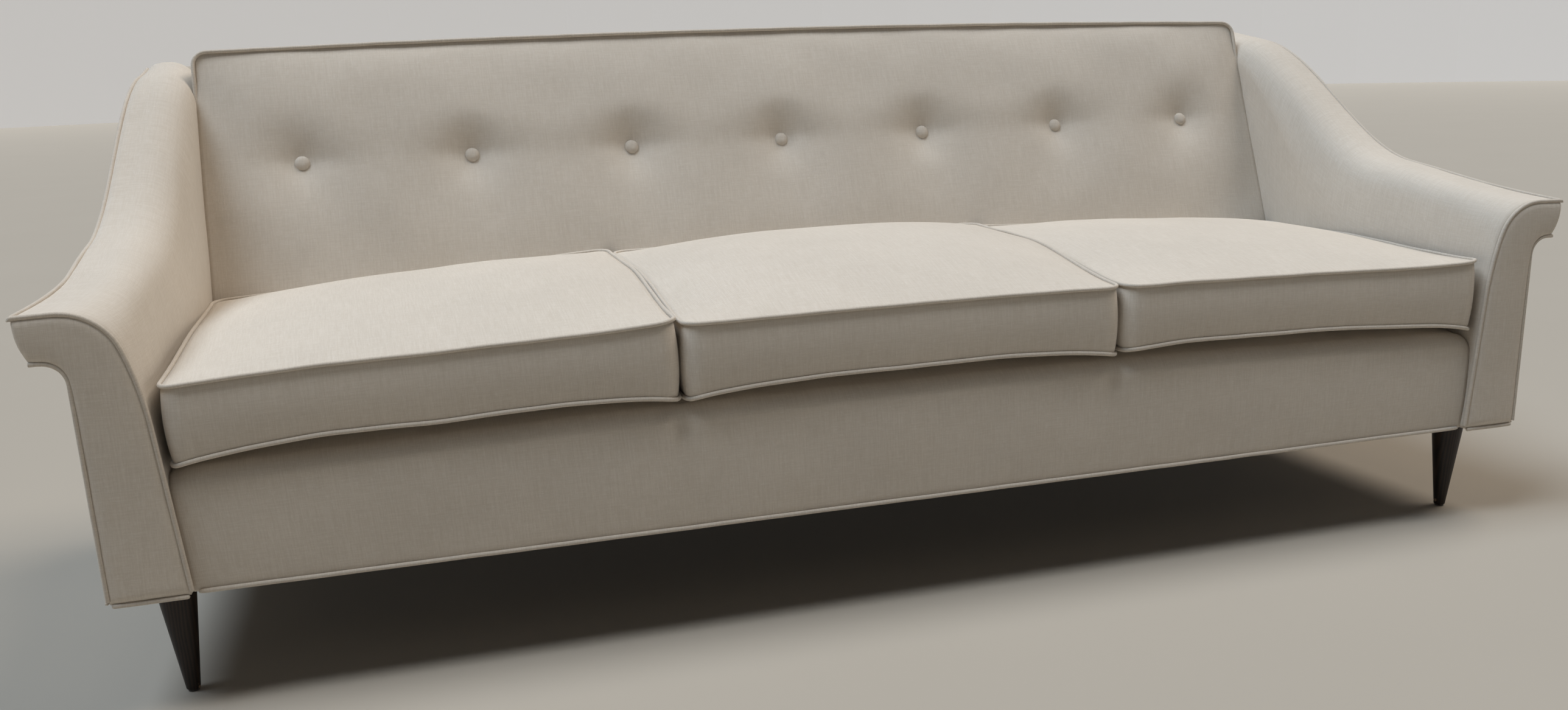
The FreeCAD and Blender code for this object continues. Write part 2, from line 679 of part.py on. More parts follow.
def tuft_buttons():
    base = TUFT_FLOOR + GAP
    edge = V(BUTTON_R, 0, base + BUTTON_EDGE_H)
    crown = V(0, 0, base + BUTTON_H)
    dome_h = BUTTON_H - BUTTON_EDGE_H
    dome_r = (BUTTON_R ** 2 + dome_h ** 2) / (2 * dome_h)
    under = V(BUTTON_R - BUTTON_TAPER, 0, base)
    button = revolved([line(V(0, 0, base), under), line(under, edge),
                       arc_about(crown - V(0, 0, dome_r), edge, crown), line(crown, V(0, 0, base))])
    return group(at_tufts(button))


def tuft_twines():
    behind = -(BACK_PAD_T + GAP)
    twine = Part.makeCylinder(TWINE_R, TUFT_FLOOR - behind, V(0, 0, behind), V(0, 0, 1))
    disc = Part.makeCylinder(TWINE_DISC_R, TWINE_DISC_T, V(0, 0, behind - TWINE_DISC_T), V(0, 0, 1))
    return group(at_tufts(twine.fuse(disc)))


# Back frame, made against the raked plane

def back_webbing():
    strips = []
    for n in range(3):
        x = TUFT_PITCH * (n + 0.5)
        strip = raked(box(x - WEB_W / 2, x + WEB_W / 2, BACK_PAD_T + GAP, BACK_PAD_T + GAP + WEB_T,
                          LOWER_RAIL_V[0] + 6, TOP_RAIL_V[1] - 6))
        strips.append(both_sides(strip))
    return group(strips)


def back_top_rail():
    half = SIDE_UPRIGHT_X[0]
    return raked(box(-half, half, FRAME_DEPTH, FRAME_DEPTH + TOP_RAIL_DEPTH, *TOP_RAIL_V))


def back_lower_rail():
    half = SIDE_UPRIGHT_X[0]
    return raked(box(-half, half, FRAME_DEPTH, FRAME_DEPTH + LOWER_RAIL_DEPTH, *LOWER_RAIL_V))


def back_uprights():
    """Two sawn side uprights that stand on the seat frame, and two in the middle."""
    side = raked(box(*SIDE_UPRIGHT_X, FRAME_DEPTH, FRAME_DEPTH + SIDE_UPRIGHT_DEPTH, -160, TOP_RAIL_V[1]))
    side = side.cut(box(0, 1100, 0, 900, 0, RAIL_TOP))
    half = MIDDLE_UPRIGHT_W / 2
    middle = raked(box(STRETCHER_X - half, STRETCHER_X + half, FRAME_DEPTH, FRAME_DEPTH + MIDDLE_UPRIGHT_DEPTH,
                       LOWER_RAIL_V[1], TOP_RAIL_V[0]))
    return group([both_sides(side), both_sides(middle)])


def rear_posts():
    front = BODY_REAR - COVER_T - BACK_FRAME_GAP - REAR_POST_T
    half = REAR_POST_W / 2
    posts = []
    for x in (STRETCHER_X, REAR_POST_X):
        post = box(x - half, x + half, front, front + REAR_POST_T, RAIL_TOP, REAR_POST_TOP)
        posts.append(both_sides(post))
    return group(posts)


# Seat frame

def screws(radius):
    x = SEAT_FRAME_HALF - SIDE_RAIL_T / 2
    front = FRONT_RAIL_Y + SCREW_SINK
    rear = BACK_RAIL_Y + SCREW_LEN / 2
    rods = []
    for z in SCREW_ZS:
        rods.append(rod(V(x, front, z), V(x, front + SCREW_LEN, z), radius))
        rods.append(rod(V(x, rear - SCREW_LEN, z), V(x, rear, z), radius))
    return [both_sides(r) for r in rods]


def front_rail():
    rail = box(-SEAT_FRAME_HALF, SEAT_FRAME_HALF, FRONT_RAIL_Y, FRONT_RAIL_Y + RAIL_T, WOOD_BOTTOM, RAIL_TOP)
    return rail.cut(screws(SCREW_R + HOLE_PLAY))


def back_rail():
    rail = box(-SEAT_FRAME_HALF, SEAT_FRAME_HALF, BACK_RAIL_Y, BACK_RAIL_Y + BACK_RAIL_T, WOOD_BOTTOM, RAIL_TOP)
    return rail.cut(screws(SCREW_R + HOLE_PLAY))


def side_rails():
    rail = box(SEAT_FRAME_HALF - SIDE_RAIL_T, SEAT_FRAME_HALF, FRONT_RAIL_Y + RAIL_T, BACK_RAIL_Y,
               WOOD_BOTTOM, RAIL_TOP)
    rail = rail.cut(bolt_holes(BOLT_R + HOLE_PLAY))
    return both_sides(rail).cut(screws(SCREW_R + HOLE_PLAY))


def seat_stretchers():
    return both_sides(box(STRETCHER_X - STRETCHER_W / 2, STRETCHER_X + STRETCHER_W / 2,
                          FRONT_RAIL_Y + RAIL_T, BACK_RAIL_Y, WOOD_BOTTOM, STRETCHER_TOP))


def corner_blocks():
    x = SEAT_FRAME_HALF - SIDE_RAIL_T
    blocks = []
    for y, turn in ((FRONT_RAIL_Y + RAIL_T, 1), (BACK_RAIL_Y, -1)):
        corners = [V(x, y, BLOCK_BOTTOM), V(x, y + turn * BLOCK_LEG, BLOCK_BOTTOM),
                   V(x - BLOCK_LEG, y, BLOCK_BOTTOM)]
        face = Part.Face(Part.makePolygon(corners + corners[:1]))
        blocks.append(both_sides(face.extrude(V(0, 0, BLOCK_H))))
    return group(blocks)


def frame_screws():
    return group(screws(SCREW_R))


def spring_xs():
    first = -(SPRING_COUNT - 1) / 2
    return [(first + n) * SPRING_PITCH for n in range(SPRING_COUNT)]


def seat_springs():
    """Sinuous springs: straight bars across, joined by half-circle loops."""
    pitch = (SPRING_REAR - SPRING_FRONT) / SPRING_BENDS
    radius = pitch / 2
    reach = radius * math.sqrt(0.5)
    half = SPRING_BAR / 2
    edges = []
    side = 1
    y = SPRING_FRONT
    for n in range(SPRING_BENDS):
        corner = V(side * half, y, SPRING_Z)
        edges.append(line(V(-side * half, y, SPRING_Z), corner))
        tip = V(side * (half + radius), y + radius, SPRING_Z)
        end = V(side * half, y + pitch, SPRING_Z)
        edges.append(arc(corner, V(side * (half + reach), y + radius - reach, SPRING_Z), tip))
        edges.append(arc(tip, V(side * (half + reach), y + radius + reach, SPRING_Z), end))
        side = -side
        y += pitch
    edges.append(line(V(-side * half, y, SPRING_Z), V(side * half, y, SPRING_Z)))
    spring = sweep(edges, SPRING_WIRE_R)
    springs = []
    for x in spring_xs():
        copy = spring.copy()
        copy.translate(V(x, 0, 0))
        springs.append(copy)
    return group(springs)


def spring_clips():
    clips = []
    for x in spring_xs():
        for y in (SPRING_FRONT, SPRING_REAR):
            clips.append(box(x - CLIP_W / 2, x + CLIP_W / 2, y - CLIP_D / 2, y + CLIP_D / 2, RAIL_TOP,
                             SPRING_Z - SPRING_WIRE_R))
    return group(clips)


# Loose cushions

def side_circle(start, end, draw_in):
    """Large circle outside a boxing side that pulls it in between its two corners."""
    chord = end - start
    radius = (chord.Length ** 2 / 4 + draw_in ** 2) / (2 * draw_in)
    outward = V(chord.y, -chord.x, 0)
    outward.normalize()
    centre = (start + end) * 0.5 + outward * (radius - draw_in)
    return centre, radius


def meeting_point(first, second, near):
    """Where two circles cross, at the crossing nearest to a given point."""
    c1, r1 = first
    c2, r2 = second
    between = c2 - c1
    gap = between.Length
    along = (r1 * r1 - r2 * r2 + gap * gap) / (2 * gap)
    height = math.sqrt(max(r1 * r1 - along * along, 0.0))
    unit = between * (1 / gap)
    across = V(-unit.y, unit.x, 0)
    base = c1 + unit * along
    points = [base + across * height, base - across * height]
    return min(points, key=lambda p: (p - near).Length)


def cushion_outline(corners, inset, z):
    """Plan of a cushion: four drawn-in sides and four round corners, all tangent."""
    draws = (DRAW_IN, DRAW_IN, DRAW_IN_REAR, DRAW_IN)
    sides = [side_circle(corners[n], corners[(n + 1) % 4], draws[n]) for n in range(4)]
    radius = CUSHION_CORNER_R
    lift = V(0, 0, z)
    hubs = []
    for n in range(4):
        before, after = sides[n - 1], sides[n]
        hub = meeting_point((before[0], before[1] + radius), (after[0], after[1] + radius), corners[n])
        hubs.append(hub)
    edges = []
    for n in range(4):
        before, after = sides[n - 1], sides[n]
        hub = hubs[n]
        to_before = (before[0] - hub).normalize()
        to_after = (after[0] - hub).normalize()
        tight = radius - inset
        bisector = (to_before + to_after).normalize()
        corner_start = hub + to_before * tight
        corner_end = hub + to_after * tight
        edges.append(arc(corner_start + lift, hub + bisector * tight + lift, corner_end + lift))
        next_hub = hubs[(n + 1) % 4]
        next_start = next_hub + (after[0] - next_hub).normalize() * tight
        middle = (corners[n] + corners[(n + 1) % 4]) * 0.5
        inward = (middle - after[0]).normalize()
        edges.append(arc(corner_end + lift, after[0] + inward * (after[1] + inset) + lift, next_start + lift))
    return edges


def cushion_corners(x0, x1_front, x1_rear, z):
    """Corners of the boxing at height z above the cushion's underside, behind the welts."""
    front = CUSHION_FRONT + WELT_REACH
    rear = CUSHION_REAR_LOW - WELT_REACH + CUSHION_REAR_LEAN * z
    return [V(x0, front, 0), V(x1_front, front, 0), V(x1_rear, rear, 0), V(x0, rear, 0)]


def centre_corners(z):
    half = CENTRE_HALF - JOINT_GAP / 2 - WELT_REACH
    return cushion_corners(-half, half, half, z)


def outer_corners(z):
    inner = CENTRE_HALF + JOINT_GAP / 2 + WELT_REACH
    return cushion_corners(inner, OUTER_FRONT_X - WELT_REACH, OUTER_REAR_X2 - WELT_REACH, z)


def cushion_prism(corners_at, inset):
    low, high = -20.0, BOXING + CROWN + 20.0
    wires = [Part.Wire(cushion_outline(corners_at(z), inset, z)) for z in (low, high)]
    return Part.makeLoft(wires, True, True)


def crown_arcs(front, rear, rise):
    """Three tangent arcs over a filled top: steep from the front, flat in the middle, steep at the rear."""
    x = front.x
    flat_rise = (1 - CROWN_SHOULDER_SHARE) * rise
    flat_half = (rear.y - front.y) / 2 - CROWN_SHOULDER
    flat_radius = (flat_half ** 2 + flat_rise ** 2) / (2 * flat_rise)
    top = V(x, (front.y + rear.y) / 2, front.z + rise)
    flat_hub = top - V(0, 0, flat_radius)
    arcs = []
    ends = [V(x, top.y + side * flat_half, top.z - flat_rise) for side in (-1, 1)]
    for edge, end in ((front, ends[0]), (rear, ends[1])):
        inward = (flat_hub - end).normalize()
        to_edge = edge - end
        hub = end + inward * (to_edge.dot(to_edge) / (2 * to_edge.dot(inward)))
        arcs.append((hub, edge, end))
    first, last = arcs
    return [arc_about(*first), arc(ends[0], top, ends[1]), arc_about(last[0], last[2], last[1])]


def cushion_crown(corners_at, inset):
    """Long loft under a filled top, wider than the cushion it is cut to."""
    left = corners_at(0)[0].x
    right = corners_at(0)[1].x
    middle = (left + right) / 2
    half = (right - left) / 2
    top = BOXING - inset
    wires = []
    for share in (-1.002, -0.94, -0.8, -0.45, 0.0, 0.45, 0.8, 0.94, 1.002):
        x = middle + share * half
        drawn = 1 - share * share
        front = corners_at(BOXING)[0].y + DRAW_IN * drawn - 1
        rear = corners_at(BOXING)[2].y - DRAW_IN_REAR * drawn + 1
        rise = max(CROWN * (1 - share ** 4), CROWN_RUN_OUT)
        a, b = V(x, front - 30, inset), V(x, front - 30, top)
        c, d = V(x, front, top), V(x, rear, top)
        e, f = V(x, rear + 60, top), V(x, rear + 60, inset)
        ring = [line(a, b), line(b, c), *crown_arcs(c, d, rise), line(d, e), line(e, f), line(f, a)]
        wires.append(Part.Wire(ring))
    return Part.makeLoft(wires, True, False)


def cushion_solid(corners_at, inset):
    return cushion_crown(corners_at, inset).common(cushion_prism(corners_at, inset))


def cushion_cover(corners_at):
    return cushion_solid(corners_at, 0.0).cut(cushion_solid(corners_at, CUSHION_COVER_T))


def cushion_core(corners_at):
    return cushion_solid(corners_at, CUSHION_COVER_T + GAP)


def cushion_welts(corners_at):
    low, high = WELT_R + CUSHION_WELT_LOW, BOXING - CUSHION_WELT_HIGH
    return group([sweep(cushion_outline(corners_at(z), -WELT_STAND, z), WELT_R) for z in (low, high)])


def zip_line(corners_at):
    corners = corners_at(BOXING / 2)
    return (corners[0].x + corners[2].x) / 2, corners[2].y


def zip_tape(corners_at):
    middle, rear = zip_line(corners_at)
    layer = cushion_prism(corners_at, -GAP - ZIP_T).cut(cushion_prism(corners_at, -GAP))
    band = box(middle - ZIP_LENGTH / 2, middle + ZIP_LENGTH / 2, rear - 60, rear + 60,
               (BOXING - ZIP_HEIGHT) / 2, (BOXING + ZIP_HEIGHT) / 2)
    return layer.common(band)


def zip_slider(corners_at):
    """Slider at one end of its tape, clear of the tape where the boxing is least drawn in."""
    middle, rear = zip_line(corners_at)
    corners = corners_at(BOXING / 2)
    half = (corners[2].x - corners[3].x) / 2
    sunk = DRAW_IN_REAR * (1 - (ZIP_LENGTH / 2 / half) ** 2)
    lean = CUSHION_REAR_LEAN * SLIDER_H / 2
    y = rear - sunk + 2 * GAP + ZIP_T + lean
    x = middle - ZIP_LENGTH / 2 + SLIDER_START
    z = (BOXING - SLIDER_H) / 2
    body = box(x, x + SLIDER_L, y, y + SLIDER_T, z, z + SLIDER_H)
    upright = [e for e in body.Edges if abs(e.tangentAt(e.FirstParameter).z) > 0.9]
    return body.makeFillet(SLIDER_ROUND, upright)


def seat_centre(shape):
    placed = shape.copy()
    placed.translate(V(0, 0, CUSHION_BASE))
    return placed


def seat_right(shape):
    placed = shape.copy()
    placed.rotate(V(CENTRE_HALF, 0, 0), V(0, 1, 0), OUTER_TILT)
    placed.translate(V(0, 0, CUSHION_BASE))
    return placed


# Legs

def leg(y):
    top_z = UNDERSIDE - GAP / 3 - PLATE_T
    circles = []
    foot_r = LEG_FOOT_R - LEG_FOOT_CHAMFER
    levels = ((GLIDE_T, foot_r), (GLIDE_T + LEG_FOOT_CHAMFER, LEG_FOOT_R), (top_z, LEG_TOP_R))
    for z, radius in levels:
        tuck = LEG_TUCK * (top_z - z) / (top_z - GLIDE_T)
        circles.append(Part.Wire([Part.Circle(V(LEG_X - tuck, y, z), V(0, 0, 1), radius).toShape()]))
    body = Part.makeLoft(circles, True, True)
    bore = rod(V(LEG_X, y, top_z - HANGER_IN_LEG - 1), V(LEG_X, y, top_z + 1), HANGER_R + HOLE_PLAY)
    nail = rod(V(LEG_X - LEG_TUCK, y, 0), V(LEG_X - LEG_TUCK, y, GLIDE_T + GLIDE_NAIL + GAP),
               GLIDE_NAIL_R + HOLE_PLAY)
    return body.cut([bore, nail])


def leg_plates():
    plates = []
    for x, y in hanger_axes():
        low = UNDERSIDE - GAP / 3 - PLATE_T
        plate = rod(V(x, y, low), V(x, y, low + PLATE_T), PLATE_R)
        hole = rod(V(x, y, low - 1), V(x, y, low + PLATE_T + 1), HANGER_R + HOLE_PLAY)
        plates.append(both_sides(plate.cut(hole)))
    return group(plates)


def hanger_bolts():
    low = UNDERSIDE - PLATE_T - HANGER_IN_LEG
    return group([both_sides(rod(V(x, y, low), V(x, y, UNDERSIDE + HANGER_IN_RAIL), HANGER_R))
                  for x, y in hanger_axes()])


def floor_glides():
    glides = []
    for _, y in hanger_axes():
        x = LEG_X - LEG_TUCK
        pad = rod(V(x, y, 0), V(x, y, GLIDE_T), GLIDE_R)
        nail = rod(V(x, y, GLIDE_T), V(x, y, GLIDE_T + GLIDE_NAIL), GLIDE_NAIL_R)
        glides.append(both_sides(pad.fuse(nail)))
    return group(glides)


# Outside back, dust cover and bottom welt

def outside_back_panel():
    y = BODY_REAR + GAP
    half, top, radius = PANEL_HALF, PANEL_TOP, PANEL_CORNER_R
    reach = radius * (1 - math.sqrt(0.5))
    right = V(half, y, top - radius)
    right_mid = V(half - reach, y, top - reach)
    right_top = V(half - radius, y, top)
    foot = V(half, y, PANEL_BOTTOM)
    edges = [line(foot, right), arc(right, right_mid, right_top), line(right_top, opposite(right_top)),
             arc(opposite(right_top), opposite(right_mid), opposite(right)),
             line(opposite(right), opposite(foot)), line(opposite(foot), foot)]
    return Part.Face(Part.Wire(edges)).extrude(V(0, COVER_T, 0))


def dust_cover():
    low = UNDERSIDE + COVER_T + GAP
    return box(-DUST_HALF, DUST_HALF, FRONT_RAIL_Y, BACK_RAIL_Y + BACK_RAIL_T, low, low + DUST_T)


def bottom_welt():
    """Cord round the foot of the body: under the facings, along the rail, the sides and the rear."""
    z = UNDERSIDE + WELT_R
    facing_z = UNDERSIDE + 0.2
    reach = WELT_R + GAP
    inner = INNER_REAR_X + INNER_TOE_OUT
    outer = OUTER_REAR_X + OUTER_TOE_OUT
    rail = rod(V(-inner + 5, RAIL_FRONT - reach, z), V(inner - 5, RAIL_FRONT - reach, z), WELT_R)
    facing = rod(V(inner + 3, 0.4, facing_z), V(outer - 3, 0.4, facing_z), WELT_R)
    side = rod(V(outer + reach, ARM_COVER_FRONT, z), V(OUTER_REAR_X + reach, BODY_REAR, z), WELT_R)
    rear = rod(V(-OUTER_REAR_X, BODY_REAR + reach, z), V(OUTER_REAR_X, BODY_REAR + reach, z), WELT_R)
    return group([rail, both_sides(facing), both_sides(side), rear])


# All nodes

def build():
    right_arm = arm_solid(-GAP)
    arms = [right_arm, mirrored(right_arm)]
    nodes = {
        "front_rail": front_rail(),
        "back_rail": back_rail(),
        "side_rails": side_rails(),
        "seat_stretchers": seat_stretchers(),
        "corner_blocks": corner_blocks(),
        "frame_screws": frame_screws(),
        "seat_springs": seat_springs(),
        "spring_clips": spring_clips(),
        "deck_pad": deck_pad(arms),
        "deck_cover": deck_cover(arms),
        "front_edge_pad": front_edge_pad(arms),
        "front_rail_cover": front_rail_cover(arms),
        "arm_lower_rails": both_sides(arm_lower_rail()),
        "arm_front_boards": both_sides(arm_front_board()),
        "arm_top_rails": both_sides(arm_top_rail()),
        "arm_posts": arm_posts(),
        "arm_bolts": arm_bolts(),
        "back_pad": back_pad(),
        "back_cover": back_cover(),
        "back_welt": back_welt(),
        "back_webbing": back_webbing(),
        "back_top_rail": back_top_rail(),
        "back_lower_rail": back_lower_rail(),
        "back_uprights": back_uprights(),
        "rear_posts": rear_posts(),
        "tuft_buttons": tuft_buttons(),
        "tuft_twines": tuft_twines(),
        "outside_back_panel": outside_back_panel(),
        "dust_cover": dust_cover(),
        "bottom_welt": bottom_welt(),
        "leg_plates": leg_plates(),
        "hanger_bolts": hanger_bolts(),
        "floor_glides": floor_glides(),
    }
    for name, make in (("arm_cover", arm_cover), ("arm_pad", arm_pad), ("arm_facing", arm_facing),
                       ("arm_welt", arm_welt)):
        shape = make()
        nodes[name + "_right"] = shape
        nodes[name + "_left"] = mirrored(shape)
    for name, y in (("leg_front", LEG_FRONT_Y), ("leg_rear", LEG_REAR_Y)):
        shape = leg(y)
        nodes[name + "_right"] = shape
        nodes[name + "_left"] = mirrored(shape)
    for name, make in (("cushion_cover", cushion_cover), ("cushion_core", cushion_core),
                       ("cushion_welts", cushion_welts), ("zip_tape", zip_tape), ("zip_slider", zip_slider)):
        nodes[name + "_centre"] = seat_centre(make(centre_corners))
        shape = seat_right(make(outer_corners))
        nodes[name + "_right"] = shape
        nodes[name + "_left"] = mirrored(shape)
    return nodes


def save(nodes):
    os.makedirs("parts", exist_ok=True)
    for name, shape in nodes.items():
        moved = Part.Compound(shape.Solids) if len(shape.Solids) > 1 else shape.Solids[0].copy()
        moved.translate(V(0, -MIDDLE_Y, 0))
        moved.exportStep("parts/" + name + ".step")
        print(f"{name:22s} solids {len(moved.Solids):3d}  volume {moved.Volume / 1000:10.1f} cm3  "
              f"valid {moved.isValid()}")


save(build())
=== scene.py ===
import json
import math

import bmesh
import bpy
import numpy as np
from mathutils import Matrix, Vector, kdtree, noise


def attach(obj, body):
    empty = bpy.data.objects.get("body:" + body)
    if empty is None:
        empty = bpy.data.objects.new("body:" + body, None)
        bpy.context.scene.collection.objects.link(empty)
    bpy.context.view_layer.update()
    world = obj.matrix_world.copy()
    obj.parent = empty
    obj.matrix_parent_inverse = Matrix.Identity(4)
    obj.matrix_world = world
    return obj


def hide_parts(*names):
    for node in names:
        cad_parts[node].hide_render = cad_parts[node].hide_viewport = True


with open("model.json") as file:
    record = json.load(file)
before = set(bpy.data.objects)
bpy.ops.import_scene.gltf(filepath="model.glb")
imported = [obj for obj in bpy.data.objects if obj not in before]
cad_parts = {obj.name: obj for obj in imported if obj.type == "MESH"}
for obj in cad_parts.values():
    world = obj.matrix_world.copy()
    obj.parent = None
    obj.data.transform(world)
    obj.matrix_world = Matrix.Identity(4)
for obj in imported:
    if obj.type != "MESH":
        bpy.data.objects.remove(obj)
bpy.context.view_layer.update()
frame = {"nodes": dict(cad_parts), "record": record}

# Sizes are in millimetres and depths are counted from the front of the arms, as an upholsterer's
# cutting list gives them. placed() turns them into metres in the frame.
MM = 0.001
MIDDLE_Y = 395.65
UNDERSIDE = 154.0
BODY_REAR = 790.0
WELT_R = 3.2

# Arm: the tip of its lip, the height of its top, its inner and outer face, and its rounds
TIP_X = 1142.5
TIP_REAR_X, TIP_TAPER, TAPER_START, TAPER_LENGTH = 1062.0, 38.0, 220.0, 520.0
EAR_LENGTH = 160.0
ARM_FRONT_HEIGHT, ARM_SLOPE = 525.0, 0.165
SWOOP_RISE, SWOOP_START, SWOOP_LENGTH = 158.0, 295.0, 385.0
INNER_REAR_X, INNER_TOE_OUT, TOE_LENGTH = 968.0, 13.0, 540.0
OUTER_REAR_X, OUTER_TOE_OUT, STEM_FLARE, MIN_OVERHANG = 1040.0, 39.0, 9.0, 6.0
SHOULDER_RUN, SHOULDER_RISE = 46.0, 1.5
ROLL_X, ROLL_TOE_OUT = 970.0, 34.0
ROLL_DROP, ROLL_DROP_LOSS, ROLL_LENGTH, ROLL_RATIO = 79.5, 34.0, 70.0, 2.0
LIP_THICK, LIP_SLANT, LIP_BOW, UNDER_ROUND = 57.0, 0.25, 4.0, 0.53
TIP_ROUND_FRONT, TIP_ROUND_MIDDLE, TIP_ROUND_REAR = 3.0, 16.0, 35.0
FIRST_ROUNDING, LAST_ROUNDING = (60.0, 360.0), (520.0, 270.0)

# Cells once round the arm's outline. The way up the inside and over the top has as many as the
# way up the outside and under the lip, so that the facing's two edges pair up.
INNER_CELLS, ROUND_CELLS, TOP_CELLS, TIP_CELLS, LIP_CELLS, UNDER_CELLS = 30, 8, 6, 6, 7, 6
CHAIN = INNER_CELLS + 2 * ROUND_CELLS + TOP_CELLS + TIP_CELLS
OUTER_CELLS = CHAIN - ROUND_CELLS - UNDER_CELLS
ARM_STATIONS = 84

# Arm cover, facing and their cords
ARM_COVER_FRONT = 4.0
FACING_INSET, FACING_ACROSS = 1.2, 15
FACING_EDGE_Y, FACING_CROWN, FACING_BELLY, FACING_BACK_Y = 3.0, 5.6, 1.8, 3.6
FACING_SIDE_ROUND, FACING_END_ROUND, LIP_BOW_FADE = 9.0, 8.0, 22.0
FACING_CORD_Y, FACING_CORD_FOOT = 0.8, 160.0
EDGE_CORD_OUT = 1.2

# Front rail: the edge of its padding stands a little lower than the seat
RAIL_FRONT, RAIL_FOOT, RAIL_HALF, RAIL_BELLY = 15.5, 11.5, 990.0, 1.8
EDGE_ROLL, EDGE_DROP, EDGE_DEPTH = 26.0, 12.0, 110.0
END_PULL, END_PULL_LENGTH = 7.0, 13.0
PUCKER_DEPTH, PUCKER_LIP, PUCKER_WIDE, PUCKER_HIGH, PUCKER_DROP = 3.4, 1.5, 13.0, 22.0, 36.0
RAIL_CLOTH_T = 6.0

# Decking, outside back and dust cover
DECK_CENTRE, DECK_FALL, DECK_HALF, DECK_REAR, DECK_CLOTH_T = 343.0, 18.0, 985.0, 538.0, 16.0
SEAM_DIP, SEAM_LENGTH = 1.6, 5.0
RAIL_EASE, DECK_EASE = 0.5, 0.6
OUTSIDE_TOP, OUTSIDE_HALF, OUTSIDE_CORNER, OUTSIDE_FOOT, OUTSIDE_OUT = 806.0, 1037.0, 30.0, 6.0, 0.6
DUST_WIDE, DUST_DEEP, DUST_FRONT, DUST_UP = 1932.0, 744.0, 42.0, 3.4

# Welt round the underside
HEM_Z = UNDERSIDE + 2.5
HEM_OUT, HEM_PROUD = 2.8, 2.6
INNER_FOOT, OUTER_FOOT = 981.0, 1079.0
FACING_HEM_Y, FACING_HEM_UP = 0.4, 0.2

# Back: a raked plane, a filled panel on it, and seven tufts
FACE_Y, FACE_Z, RAKE = 539.0, 440.0, 0.379
RUN = math.hypot(1, RAKE)
BACK_BOTTOM, BACK_TOP, BACK_ARCH, BACK_REAR_DROP = 345.0, 828.0, 12.0, 13.0
BACK_SIDE, BACK_CORNER = 971.4, 24.0
BACK_EDGE_OUT, BACK_SWELL, BACK_SWELL_MORE = 0.6, 17.0, 6.0
BACK_SIDE_POWER, BACK_FOOT_POWER, BACK_TOP_POWER = 11, 2.6, 5.5
BACK_BOXING, BACK_PUFF = 110.0, 3.0
BACK_CORD_OUT, BACK_CORD_IN, BACK_CORD_TUCK = 3.4, 1.6, 5.6
TUFT_Z, TUFT_PITCH, TUFT_COUNT = 645.0, 272.0, 7
TUFT_FLOOR, TUFT_FLAT, TUFT_REACH, TUFT_POWER, TUFT_SQUASH = 2.2, 9.0, 34.0, 1.15, 0.8
CREASE, CREASE_HALF, CREASE_WIDEN, CREASE_LENGTH = 0.26, 9.0, 0.12, 68.0
VALLEY, VALLEY_HALF = 0.07, 45.0
BUTTON_R, BUTTON_T, BUTTON_OUT = 12.0, 2.2, 2.4

# Filling of the back: its pressure, which points of the cover are sewn down, and how far others give
BACK_PRESSURE, BACK_FRAMES = 2.2, 14
SEWN_BEHIND, SEWN_SIDE, SEWN_FOOT, SEWN_TOP, SEWN_ARCH, SEWN_TUFT = 1.5, 9.0, -92.0, 405.9, 12.8, 14.0
BACK_GIVE, BACK_GIVE_MORE, BACK_GIVE_LENGTH = 0.3, 4.2, 75.0

# Cushions: the outer ones reach from a joint to an arm, and the centre one from joint to joint
BOXING, CUSHION_BASE, CENTRE_HALF = 100.0, 343.7, 334.0
OUTER_TILT = math.radians(1.446)
JOINT_GAP, WELT_REACH = 0.3, 5.3
ARM_SIDE_FRONT, ARM_SIDE_REAR, ARM_LEAN = 988.5, 961.0, 1.0
CUSHION_FRONT, CUSHION_REAR, REAR_LEAN, CUSHION_CORNER = 7.3, 495.7, 0.265, 20.0
SIDE_DRAW, ARM_DRAW, FRONT_DRAW = 0.2, 4.0, 3.0
JOINT_RISE, JOINT_STEP, ARM_RISE, RISE_LENGTH = 34.0, 2.5, 15.5, 0.6
JOINT_SLIP = 7.0
CROWN_CENTRE, CROWN_OUTER = 29.5, 21.5
CROWN_SIDE_POWER, CROWN_FRONT_POWER, CROWN_REAR_POWER = 3.1, 2.3, 6.3
UNDER_SEAM, UNDER_SAG, CORNER_SPREAD = 3.4, 9.5, 0.11
BOXING_BULGE = 5.0
CUSHION_CORD_OUT, CUSHION_CORD_UP = 2.8, 0.4
CELLS_S, CELLS_T, CELLS_Z = 84, 66, 12

# Filling of the cushions: its pressure, and how far the boxing, the top and the seams give
CUSHION_PRESSURE, CUSHION_FRAMES = 3.2, 16
BOXING_GIVE, TOP_GIVE, SEAM_GIVE, SEAM_HOLD = 3.0, 5.0, 2.0, 0.8

# Zip along the back boxing of each cushion
ZIP_HALF, ZIP_COIL_HALF, ZIP_LOW, ZIP_HIGH, ZIP_MIDDLE = 234.5, 232.0, 39.0, 62.0, 50.5
ZIP_DRAW, ZIP_TEETH, TOOTH_RISE = 12.0, 520, 0.35


def placed(points):
    """Turns millimetres, counted from the front of the arms, into metres in the frame."""
    out = np.array(points, dtype=float).reshape(-1, 3)
    out[:, 1] -= MIDDLE_Y
    return out * MM


def smooth(t):
    t = min(max(t, 0.0), 1.0)
    return t * t * (3 - 2 * t)


def unit(v):
    return v / np.linalg.norm(v)


def lengths_along(path):
    """How far along a path each of its points lies."""
    steps = [math.dist(p, q) for p, q in zip(path, path[1:])]
    return np.concatenate([[0.0], np.cumsum(steps)])


